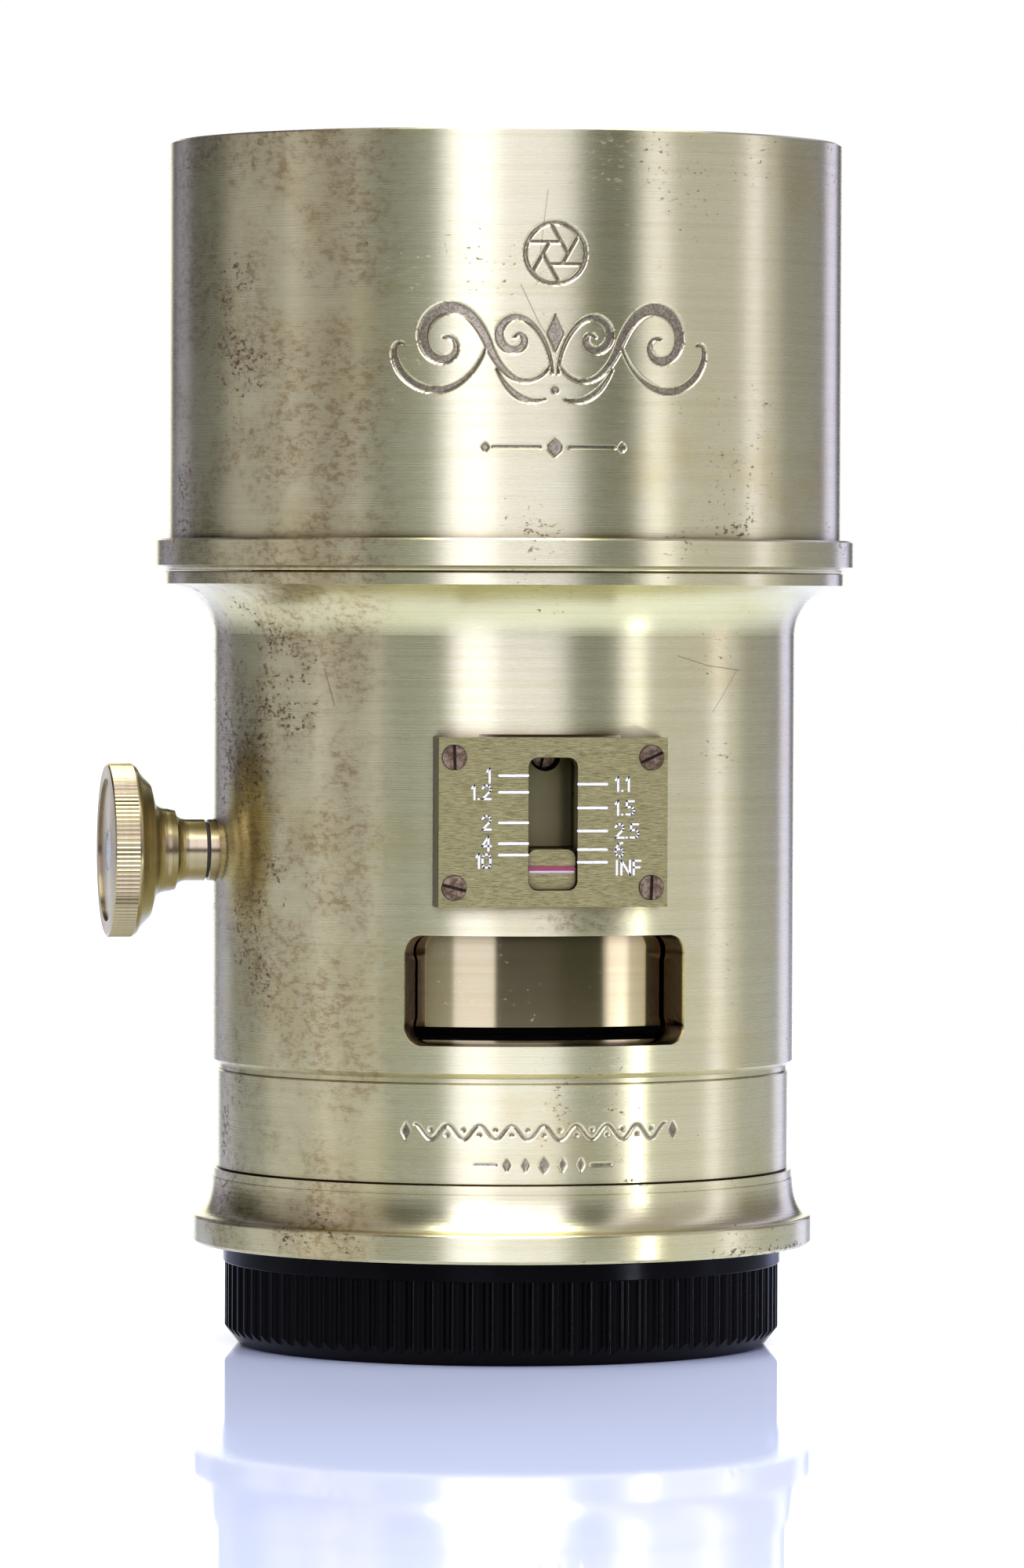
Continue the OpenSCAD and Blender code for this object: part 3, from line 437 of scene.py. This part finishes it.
def dress_nodes():
    hood_low = low("hood").z / MM
    ring_low = low("lower_ring").z / MM
    collar_low = low("mount_collar").z / MM
    barrel = turned_brass("satin_brass", CHAMPAGNE, wear_and_shade=True,
                          joints=((hood_low, 2.5), (ring_low, 1.5), (collar_low, 1.5)))
    apply(barrel, "outer_barrel", "lower_ring", "mount_collar", "hood_base", "hood")
    for piece in (engrave_hood(), engrave_ring()):
        piece.data.materials.append(barrel)
    apply(turned_brass("golden_brass", GOLD, 0.08, tarnish=0.25, line_depth=0.0003, aniso=0.5,
                       shaded_x=(8.5, 15.0)), "inner_tube")
    apply(turned_brass("gear_brass", GOLD, 0.30, tarnish=0.2, aniso=0.2),
          "focus_rack", "guide_key", "drive_pinion")
    middle = (low("focus_knob").z + high("focus_knob").z) / 2 / MM
    apply(turned_brass("knob_brass", KNOB_GOLD, 0.24, "X", middle, 0.15,
                       line_depth=0.002, aniso=0.5),
          "focus_knob", "pinion_bush")
    apply(brushed_plate("plate_brass", PLATE_OLIVE), "scale_plate", "pointer_block")
    apply(dark_screws(), "scale_plate_screws", "guide_key_screws", "rack_screws",
          "pointer_screw", "cell_lock_screw")
    apply(plain_steel(), "bayonet_mount", "mount_screws", "pinion_shaft", "knob_screw")
    apply(black_anodised(), "front_cell", "front_retaining_ring", "stop_housing", "rear_cell",
          "rear_spacer", "rear_retaining_ring")
    apply(coated_glass(), "front_crown_lens", "front_flint_lens", "rear_flint_lens",
          "rear_crown_lens")
    apply(cap_plastic(), "rear_cap")
    apply(washer_fibre(), "friction_washer")


# ---------------------------------------------------------------- engraving


def bezier(points, count=28):
    """Points along a chain of cubic curves, three further control points for each."""
    points = np.array(points, float)
    out = []
    for k in range(0, len(points) - 3, 3):
        a, b, c, d = points[k:k + 4]
        t = np.linspace(0, 1, count)[:, None]
        s = 1 - t
        out.append(s ** 3 * a + 3 * s ** 2 * t * b + 3 * s * t * t * c + t ** 3 * d)
    return np.concatenate(out)


def swell(points, thin, thick):
    """A stroke that is thin at its ends and thick in the middle."""
    t = np.linspace(0, math.pi, len(points))
    return np.array(points, float), thin + (thick - thin) * np.sin(t) ** 1.5


def even(points, width):
    return np.array(points, float), np.full(len(points), float(width))


def mirrored(strokes):
    return strokes + [(points * (-1, 1), width) for points, width in strokes]


def moved(strokes, across, up):
    return [(points + (across, up), width) for points, width in strokes]


def circle(x, z, radius, count=40):
    turn = np.linspace(0, 2 * math.pi, count)
    return np.stack([x + radius * np.cos(turn), z + radius * np.sin(turn)], 1)


def lozenge(x, z, half_w, half_h):
    """A filled lozenge, as one fat short stroke with thin tips."""
    points = np.stack([np.full(9, float(x)), np.linspace(z - half_h, z + half_h, 9)], 1)
    return points, 2 * half_w * (1 - np.abs(np.linspace(-1, 1, 9))) + 0.05


def iris_mark(radius):
    """A round iris of six blades."""
    strokes = [even(circle(0, 0, radius), 0.34)]
    inner = radius * 0.42
    for k in range(6):
        a, b = (np.array([math.cos(t), math.sin(t)]) * inner
                for t in (k * math.pi / 3, (k + 1) * math.pi / 3))
        way = (b - a) / np.linalg.norm(b - a)
        reach = -a @ way + math.sqrt((a @ way) ** 2 + radius ** 2 - a @ a)
        strokes.append(even([a, a + way * reach], 0.26))
    return strokes


def hood_strokes():
    """Scrolls on both sides of a lozenge, with the iris over them, in mm across and up."""
    scroll = bezier([(0.5, -1.3), (2.8, -4.4), (5.4, -2.2), (6.6, 0.6), (7.6, 3.2), (9.4, 5.3),
                     (11.8, 4.2), (14.2, 3.0), (13.7, -0.6), (11.3, -0.7), (9.4, -0.6),
                     (9.6, 2.0), (11.2, 1.5)])
    tail = bezier([(7.0, 0.4), (8.6, -3.6), (12.4, -5.0), (15.2, -2.4), (16.9, -0.7),
                   (16.6, 1.5), (15.4, 0.9)])
    heart = bezier([(0.3, -2.0), (0.4, 1.6), (3.2, 5.0), (5.2, 3.0), (6.6, 1.3), (4.4, -0.6),
                    (3.3, 0.7), (2.7, 1.6), (3.6, 2.3), (4.1, 1.6)])
    leaf = bezier([(5.9, -1.6), (4.6, -4.4), (2.6, -5.2), (1.0, -4.6)])
    side = [swell(scroll, 0.26, 1.15), swell(tail, 0.22, 0.75), swell(heart, 0.24, 0.8),
            swell(leaf, 0.2, 0.6), even([(1.5, -9.4), (6.2, -9.4)], 0.3),
            lozenge(7.0, -9.4, 0.35, 0.5)]
    middle = [lozenge(0, 2.0, 0.8, 1.9), lozenge(0, -9.4, 0.7, 0.95),
              even([(0, -3.7), (0, -3.65)], 0.7)]
    return mirrored(side) + middle + moved(iris_mark(3.05), 0, 10.0)


def ring_strokes():
    """A running wave with beads, and a short row of lozenges under it."""
    along = np.linspace(0, 13.2, 160)
    wave = np.stack([along, 0.72 * np.cos(along * 2 * math.pi / 3.3)], 1)
    side = [even(wave, 0.27), lozenge(14.2, 0.0, 0.45, 0.9)]
    side += [even([(x, z), (x + 0.01, z)], 0.42)
             for x, z in ((1.65, 0.25), (3.3, -0.25), (4.95, 0.25), (6.6, -0.25), (8.25, 0.25),
                          (9.9, -0.25), (11.55, 0.25))]
    side += [lozenge(x, -3.3, 0.34, 0.7) for x in (1.9, 3.8)]
    side += [even([(4.9, -3.3), (7.0, -3.3)], 0.26)]
    middle = [lozenge(0, -3.3, 0.5, 0.85), even([(0, -0.25), (0.01, -0.25)], 0.42)]
    return mirrored(side) + middle


def relief(u, v, strokes, soft):
    """1 inside the strokes and 0 outside, with a soft edge; u and v in mm."""
    cut = np.zeros(u.shape)
    for points, width in strokes:
        reach = width.max() / 2 + soft
        low_x, low_z = points.min(0) - reach
        high_x, high_z = points.max(0) + reach
        near = (u > low_x) & (u < high_x) & (v > low_z) & (v < high_z)
        if not near.any():
            continue
        here = np.stack([u[near], v[near]], 1)
        best = np.full(len(here), np.inf)
        for a, b, wa, wb in zip(points, points[1:], width, width[1:]):
            run = b - a
            t = np.clip(((here - a) @ run) / max(run @ run, 1e-9), 0, 1)
            gap = np.linalg.norm(here - a - t[:, None] * run, axis=1) - (wa + (wb - wa) * t) / 2
            best = np.minimum(best, gap)
        edge = np.clip(0.5 - best / soft, 0, 1)
        cut[near] = np.maximum(cut[near], edge * edge * (3 - 2 * edge))
    return cut


MARK_AZIMUTH = -0.9        # degrees, the middle of the ornaments
FINE_CELL = 0.11           # mm, the mesh inside the engraved patch
COARSE_STEP = 2.5          # degrees, the mesh round the rest
SOFT_EDGE = 0.13           # mm, the slope at the edge of a cut
FLOOR_GRAIN = 0.015        # mm, unevenness of the cut's floor
SHARP_FOLD = 42            # degrees, above which an edge isn't smoothed


def engraved_turning(name, node, profile, wall, window, centre_z, strokes, depth, body):
    """A turned piece whose outer wall, between two heights, carries engraving cut into it.

    profile is closed and in mm, wall the index of the point at the foot of the outer wall,
    and window the half width across and the heights of the engraved patch."""
    radius = profile[wall][0]
    half, patch_low, patch_high = window
    edge = math.degrees(half / radius)
    inside = np.linspace(-edge, edge, int(2 * half / FINE_CELL))
    outside = np.linspace(edge, 360 - edge, int((360 - 2 * edge) / COARSE_STEP))[1:-1]
    degrees = np.concatenate([inside, outside])
    rows = np.linspace(patch_low, patch_high, int((patch_high - patch_low) / FINE_CELL))
    points = profile[:wall + 1] + [(radius, z) for z in rows] + profile[wall + 1:]
    radii = np.array([p[0] for p in points])[:, None] + np.zeros(len(degrees))
    heights = np.array([p[1] for p in points])[:, None] + np.zeros(len(degrees))
    patch = slice(wall + 1, wall + 1 + len(rows))
    u = np.radians(degrees) * radius + np.zeros((len(rows), 1))
    u[:, len(inside):] = 1e3
    cut = np.zeros(radii.shape)
    cut[patch] = relief(u, heights[patch] - centre_z, strokes, SOFT_EDGE)
    grain = np.sin(u * 41.0) * np.sin(u * 17.0 + heights[patch] * 29.0)
    radii[patch] -= cut[patch] * (depth + FLOOR_GRAIN * grain)
    angle = np.radians(degrees + MARK_AZIMUTH)
    verts = np.stack([radii * np.sin(angle), -radii * np.cos(angle), heights], -1) * MM
    rows_n, cols = radii.shape
    index = np.arange(rows_n * cols).reshape(rows_n, cols)
    below, right = np.roll(index, -1, 0), np.roll(index, -1, 1)
    quads = np.stack([index, right, np.roll(below, -1, 1), below], -1).reshape(-1, 4)
    mesh = bpy.data.meshes.new(name)
    mesh.from_pydata(verts.reshape(-1, 3).tolist(), [], quads.tolist())
    mesh.polygons.foreach_set("use_smooth", [True] * len(mesh.polygons))
    mesh.set_sharp_from_angle(angle=math.radians(SHARP_FOLD))
    layer = mesh.attributes.new("engraved", "FLOAT", "POINT")
    layer.data.foreach_set("value", cut.reshape(-1).astype(np.float32))
    piece = bpy.data.objects.new(name, mesh)
    bpy.context.scene.collection.objects.link(piece)
    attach(piece, body)
    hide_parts(node)
    return piece


def engrave_hood():
    r_out, base, top = high("hood").x / MM, low("hood").z / MM, high("hood").z / MM
    r_in, edge = r_out - 1.3, 0.18
    profile = [(r_in, base), (r_out, base), (r_out, top - edge), (r_out - edge, top),
               (r_in + edge, top), (r_in, top - edge)]
    return engraved_turning("hood_engraved", "hood", profile, 1, (18.0, 91.0, 116.5),
                            102.2, hood_strokes(), 0.2, "focus_tube")


def engrave_ring():
    r_out, base = high("lower_ring").x / MM, low("lower_ring").z / MM
    top = high("lower_ring").z / MM
    r_in, edge = 28.45, 0.15
    profile = [(r_in, base), (r_out - edge, base), (r_out, base + edge), (r_out, top - edge),
               (r_out - edge, top), (r_in, top)]
    return engraved_turning("lower_ring_engraved", "lower_ring", profile, 2,
                            (15.6, 19.2, 25.4), 23.85, ring_strokes(), 0.10, "barrel")


# ---------------------------------------------------------------- marks of the distance scale

GLYPHS = {
    "0": (0.9, [[(0.2, 0.1), (0.05, 0.4), (0.05, 1.1), (0.2, 1.4), (0.7, 1.4), (0.85, 1.1),
                 (0.85, 0.4), (0.7, 0.1), (0.2, 0.1)]]),
    "1": (0.45, [[(0.05, 1.15), (0.3, 1.45), (0.3, 0.05)]]),
    "2": (0.9, [[(0.05, 1.15), (0.25, 1.42), (0.65, 1.42), (0.85, 1.15), (0.8, 0.85),
                 (0.05, 0.08), (0.88, 0.08)]]),
    "4": (0.9, [[(0.65, 0.05), (0.65, 1.45), (0.03, 0.5), (0.9, 0.5)]]),
    "5": (0.9, [[(0.82, 1.42), (0.12, 1.42), (0.08, 0.8), (0.6, 0.86), (0.85, 0.62), (0.82, 0.3),
                 (0.6, 0.08), (0.06, 0.1)]]),
    "6": (0.9, [[(0.75, 1.42), (0.35, 1.3), (0.07, 0.8), (0.07, 0.35), (0.3, 0.08), (0.65, 0.08),
                 (0.85, 0.35), (0.82, 0.65), (0.6, 0.86), (0.1, 0.7)]]),
    ".": (0.32, [[(0.1, 0.08), (0.14, 0.08)]]),
    "I": (0.4, [[(0.2, 0.05), (0.2, 1.45)]]),
    "N": (1.1, [[(0.1, 0.05), (0.1, 1.45), (0.98, 0.05), (0.98, 1.45)]]),
    "F": (0.85, [[(0.1, 0.05), (0.1, 1.45), (0.8, 1.45)], [(0.1, 0.78), (0.7, 0.78)]]),
}
# Each distance in metres: side, height over the mark for infinity, drop of the number
MARKS = (
    ("1", -1, 8.72, 0), ("1.1", 1, 7.86, 0), ("1.2", -1, 7.04, 0), ("1.5", 1, 5.47, 0),
    ("2", -1, 3.98, 0), ("2.5", 1, 3.15, 0), ("4", -1, 1.89, 0), ("6", 1, 1.28, 0),
    ("10", -1, 0.74, 0.6), ("INF", 1, 0.0, 0.55),
)


LETTER_GAP = 0.16          # mm
NUMBER_RISE = 0.75         # mm, from the foot of a number up to its mark
NUMBER_GAP = 0.85          # mm, between a mark and its number
BAR_GAP = 0.05             # mm, between the window and a mark
BAR_LENGTH = 2.9           # mm
BAR_WIDTH = 0.26           # mm
DIGIT_WIDTH = 0.21         # mm, of the stroke
INDEX_UP = 2.13            # mm, the red line over the pointer's foot
INFINITY_UP = 0.62         # mm, the mark for infinity over the red line


def text_strokes(text, x, z, from_right):
    width = sum(GLYPHS[c][0] + LETTER_GAP for c in text) - LETTER_GAP
    x = x - width if from_right else x
    strokes = []
    for c in text:
        advance, lines = GLYPHS[c]
        strokes += [[(x + a, z + b) for a, b in line] for line in lines]
        x += advance + LETTER_GAP
    return strokes


def ribbon(name, strokes, face_y, body, material, lift=0.02):
    """Flat strokes of paint, each (points, width) in mm, on a face that looks towards -Y."""
    shape = bmesh.new()
    for points, width in strokes:
        for (ax, az), (bx, bz) in zip(points, points[1:]):
            turn = math.atan2(bz - az, bx - ax)
            outline = []
            for (x, z), start in (((bx, bz), -90), ((ax, az), 90)):
                for k in range(7):
                    t = turn + math.radians(start + 30 * k)
                    outline.append((x + width / 2 * math.cos(t), z + width / 2 * math.sin(t)))
            front = [shape.verts.new((x * MM, (face_y - lift) * MM, z * MM)) for x, z in outline]
            back = [shape.verts.new((x * MM, (face_y + lift) * MM, z * MM)) for x, z in outline]
            shape.faces.new(front)
            shape.faces.new(back[::-1])
            for k in range(len(front)):
                nxt = (k + 1) % len(front)
                shape.faces.new((front[nxt], front[k], back[k], back[nxt]))
    bmesh.ops.recalc_face_normals(shape, faces=shape.faces[:])
    mesh = bpy.data.meshes.new(name)
    shape.to_mesh(mesh)
    shape.free()
    piece = bpy.data.objects.new(name, mesh)
    bpy.context.scene.collection.objects.link(piece)
    piece.data.materials.append(material)
    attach(piece, body)
    return piece


def paint(name, light, dark):
    """Old filler paint, chipped and stained a little."""
    shade = Shade(name, Roughness=0.5)
    chips = shade.noise(shade.mm, 3.5, 4.0, 0.7)
    tone = shade.mix(shade.step(chips, 0.50, 0.68, 0.0, 0.6), light, dark)
    return shade.set(Base_Color=tone, Normal=shade.bump(chips, 0.01))


def mark_scale():
    face = low("scale_plate").y / MM
    window_x = high("pointer_block").x / MM + 0.1
    index_z = low("pointer_block").z / MM + INDEX_UP
    zero = index_z + INFINITY_UP
    strokes = []
    for text, side, up, drop in MARKS:
        z = zero + up
        start = window_x + BAR_GAP
        end = start + BAR_LENGTH
        strokes.append(([(side * start, z), (side * end, z)], BAR_WIDTH))
        edge = side * (end + NUMBER_GAP)
        lines = text_strokes(text, edge, z - NUMBER_RISE - drop, side < 0)
        strokes += [(line, DIGIT_WIDTH) for line in lines]
    ribbon("scale_marks", strokes, face, "barrel",
           paint("white_filler", (0.84, 0.82, 0.74), (0.50, 0.45, 0.32)))
    pointer_face = low("pointer_block").y / MM
    half = window_x - 0.32
    ribbon("index_line", [([(-half, index_z), (half, index_z)], 0.42)], pointer_face, "focus_tube",
           paint("red_filler", (0.27, 0.03, 0.05), (0.17, 0.02, 0.03)))
    ribbon("index_edge", [([(-half, index_z - 0.36), (half, index_z - 0.36)], 0.2)], pointer_face,
           "focus_tube", paint("pink_filler", (0.60, 0.42, 0.44), (0.44, 0.30, 0.28)))


# ---------------------------------------------------------------- studio

# Panels round the lens: centre, half width and soft edge in degrees from the camera's side,
# level, colour, and the heights in degrees between which its lower edge fades in.
COOL = (0.97, 0.975, 1.75)
PLAIN = (1.0, 0.97, 1.40)
WARM = (1.0, 0.96, 0.60)
DOWN = (-20.0, -15.0)
RAISED = (4.0, 12.0)
PANELS = (
    (3.0, 19.2, 6.0, 2.60, COOL, RAISED),
    (-12.5, 8.0, 2.5, 0.85, COOL, DOWN),
    (53.0, 3.4, 3.3, 0.85, COOL, DOWN),
    (77.0, 27.0, 7.0, 0.50, PLAIN, DOWN),
    (94.5, 2.5, 3.0, 0.95, COOL, DOWN),
    (120.0, 14.0, 8.0, 0.20, PLAIN, DOWN),
    (-64.0, 12.0, 6.0, 0.50, PLAIN, DOWN),
    (-90.0, 14.0, 12.0, 0.35, PLAIN, DOWN),
    (150.0, 5.0, 5.0, 0.95, COOL, DOWN),
    (-145.0, 5.0, 6.0, 0.30, COOL, DOWN),
)
BACKDROP = (-176.0, 13.5, 2.0, 1.45, (1.0, 1.0, 1.02))
DIM = 0.05                 # level of the light from everywhere else
CEILING = 0.65             # level of the light from straight above
# Degrees of height over which the panels' and the backdrop's tops and the ceiling's edge fade
PANEL_TOP, BACKDROP_TOP, CEILING_EDGE = (60, 35), (24, 14), (40, 70)
LAMP_COLOUR = (0.75, 0.82, 1.0)
FLOOR_HALF = 3             # metres
# Cloths: name and the degrees from the camera's side that they cover, then metres out
CLOTHS = (("cloth_left", -75, -52), ("cloth_right", -3, 45))
CLOTH_NEAR, CLOTH_FAR, CLOTH_HEIGHT = 0.4, 2.9, 0.5 * MM


def make_world():
    world = bpy.data.worlds.new("studio")
    bpy.context.scene.world = world
    world.use_nodes = True
    tree = world.node_tree
    tree.nodes.clear()

    def add(kind, **settings):
        node = tree.nodes.new(kind)
        for key, value in settings.items():
            setattr(node, key, value)
        return node

    def feed(socket, value):
        if hasattr(value, "is_linked"):
            tree.links.new(value, socket)
        else:
            socket.default_value = value

    def calc(operation, *values):
        node = add("ShaderNodeMath", operation=operation)
        for socket, value in zip(node.inputs, values):
            feed(socket, value)
        return node.outputs[0]

    def step(value, start, end, low_value, high_value):
        node = add("ShaderNodeMapRange", interpolation_type="SMOOTHSTEP")
        for socket, item in zip(node.inputs, (value, start, end, low_value, high_value)):
            feed(socket, item)
        return node.outputs[0]

    split = add("ShaderNodeSeparateXYZ")
    tree.links.new(add("ShaderNodeTexCoord").outputs["Generated"], split.inputs[0])
    x, y, z = split.outputs
    angle = calc("ARCTAN2", x, calc("MULTIPLY", y, -1.0))
    angle = calc("SUBTRACT", calc("MULTIPLY", angle, 180 / math.pi), CAMERA_AZIMUTH)
    rise = calc("MULTIPLY", calc("ARCSINE", z), 180 / math.pi)

    def panel(centre, half, soft, level, colour, fade):
        away = calc("ABSOLUTE", calc("WRAP", calc("SUBTRACT", angle, centre), 180.0, -180.0))
        glow = calc("MULTIPLY", step(away, half + soft, half, 0.0, level), fade)
        tinted = add("ShaderNodeVectorMath", operation="SCALE")
        tinted.inputs[0].default_value = colour
        feed(tinted.inputs["Scale"], glow)
        return tinted.outputs[0]

    upright = step(rise, *PANEL_TOP, 0.0, 1.0)
    parts = [panel(*values, calc("MULTIPLY", upright, step(rise, *edge, 0.0, 1.0)))
             for *values, edge in PANELS]
    parts.append(panel(*BACKDROP, step(rise, *BACKDROP_TOP, 0.0, 1.0)))
    ceiling = add("ShaderNodeVectorMath", operation="SCALE")
    ceiling.inputs[0].default_value = PLAIN
    feed(ceiling.inputs["Scale"], step(rise, *CEILING_EDGE, 0.0, CEILING))
    parts.append(ceiling.outputs[0])
    total = tuple(DIM * c for c in WARM)
    for part in parts:
        joined = add("ShaderNodeVectorMath", operation="ADD")
        feed(joined.inputs[0], total)
        feed(joined.inputs[1], part)
        total = joined.outputs[0]
    path = add("ShaderNodeLightPath")
    choice = add("ShaderNodeMix", data_type="RGBA")
    feed(choice.inputs[0], path.outputs["Is Camera Ray"])
    feed(choice.inputs[6], total)
    choice.inputs[7].default_value = (1.0, 1.0, 1.0, 1.0)
    background = add("ShaderNodeBackground")
    feed(background.inputs["Color"], choice.outputs[2])
    output = add("ShaderNodeOutputWorld")
    tree.links.new(background.outputs[0], output.inputs[0])


def flat_sheet(name, points, height):
    mesh = bpy.data.meshes.new(name)
    mesh.from_pydata([(x, y, height) for x, y in points], [], [tuple(range(len(points)))])
    sheet = bpy.data.objects.new(name, mesh)
    bpy.context.scene.collection.objects.link(sheet)
    return sheet


def clear_from_below(material):
    """Lets rays through from the underside, so that the floor doesn't mirror the cloth."""
    tree = material.node_tree
    output = next(node for node in tree.nodes if node.type == "OUTPUT_MATERIAL")
    either = tree.nodes.new("ShaderNodeMixShader")
    backfacing = tree.nodes.new("ShaderNodeNewGeometry").outputs["Backfacing"]
    tree.links.new(backfacing, either.inputs[0])
    tree.links.new(output.inputs[0].links[0].from_socket, either.inputs[1])
    tree.links.new(tree.nodes.new("ShaderNodeBsdfTransparent").outputs[0], either.inputs[2])
    tree.links.new(either.outputs[0], output.inputs[0])


def make_floor():
    """A sheet of glossy white acrylic, with dark cloths on it that only reflections see."""
    half = FLOOR_HALF
    floor = flat_sheet("floor", [(-half, -half), (half, -half), (half, half), (-half, half)], 0)
    shade = Shade("white_acrylic", Roughness=0.035, IOR=1.3)
    mottle = shade.noise(shade.mm, 0.02, 2.0, 0.5)
    tone = shade.mix(mottle, (0.80, 0.835, 0.87), (0.82, 0.855, 0.89))
    floor.data.materials.append(shade.set(Base_Color=tone))
    shade = Shade("dark_cloth", Roughness=1.0, Specular_IOR_Level=0.0)
    weave = shade.noise(shade.mm, 1.0, 3.0, 0.6)
    dark = shade.set(Base_Color=shade.mix(weave, (0.016, 0.015, 0.008), (0.030, 0.028, 0.015)))
    clear_from_below(dark)
    for name, first, last in CLOTHS:
        around = [math.radians(CAMERA_AZIMUTH + first + (last - first) * k / 8) for k in range(9)]
        near = [(CLOTH_NEAR * math.sin(a), -CLOTH_NEAR * math.cos(a)) for a in around]
        far = [(CLOTH_FAR * math.sin(a), -CLOTH_FAR * math.cos(a)) for a in reversed(around)]
        cloth = flat_sheet(name, (near + far)[::-1], CLOTH_HEIGHT)
        cloth.visible_camera = cloth.visible_diffuse = cloth.visible_shadow = False
        cloth.data.materials.append(dark)


def add_lamp(name, place, target, size, power):
    """An area lamp: a disk if size is one number, and a rectangle if it is two."""
    data = bpy.data.lights.new(name, "AREA")
    data.energy, data.color = power, LAMP_COLOUR
    if isinstance(size, tuple):
        data.shape = "RECTANGLE"
        data.size, data.size_y = size
    else:
        data.shape = "DISK"
        data.size = size
    lamp = bpy.data.objects.new(name, data)
    lamp.location = place
    aim = Vector(target) - Vector(place)
    lamp.rotation_mode = "QUATERNION"
    lamp.rotation_quaternion = aim.to_track_quat("-Z", "Y")
    lamp.visible_camera = False
    bpy.context.scene.collection.objects.link(lamp)
    return lamp


def make_lamps():
    """Two soft lamps overhead, and a slip of light low down that draws a line on the cap."""
    add_lamp("front_top", (-0.06, -0.50, 1.1), (0, 0, 0.06), 0.9, 14.5)
    add_lamp("back_top", (0.2, 0.5, 1.2), (0, 0, 0.06), 0.8, 9.5)
    glint = add_lamp("glint", (0.135, -0.148, 0.007), (0, 0, 0.007), (0.006, 0.013), 0.02)
    glint.visible_diffuse = False


make_camera()
make_world()
make_floor()
make_lamps()
dress_nodes()
mark_scale()

bpy.context.scene.view_settings.view_transform = "Standard"
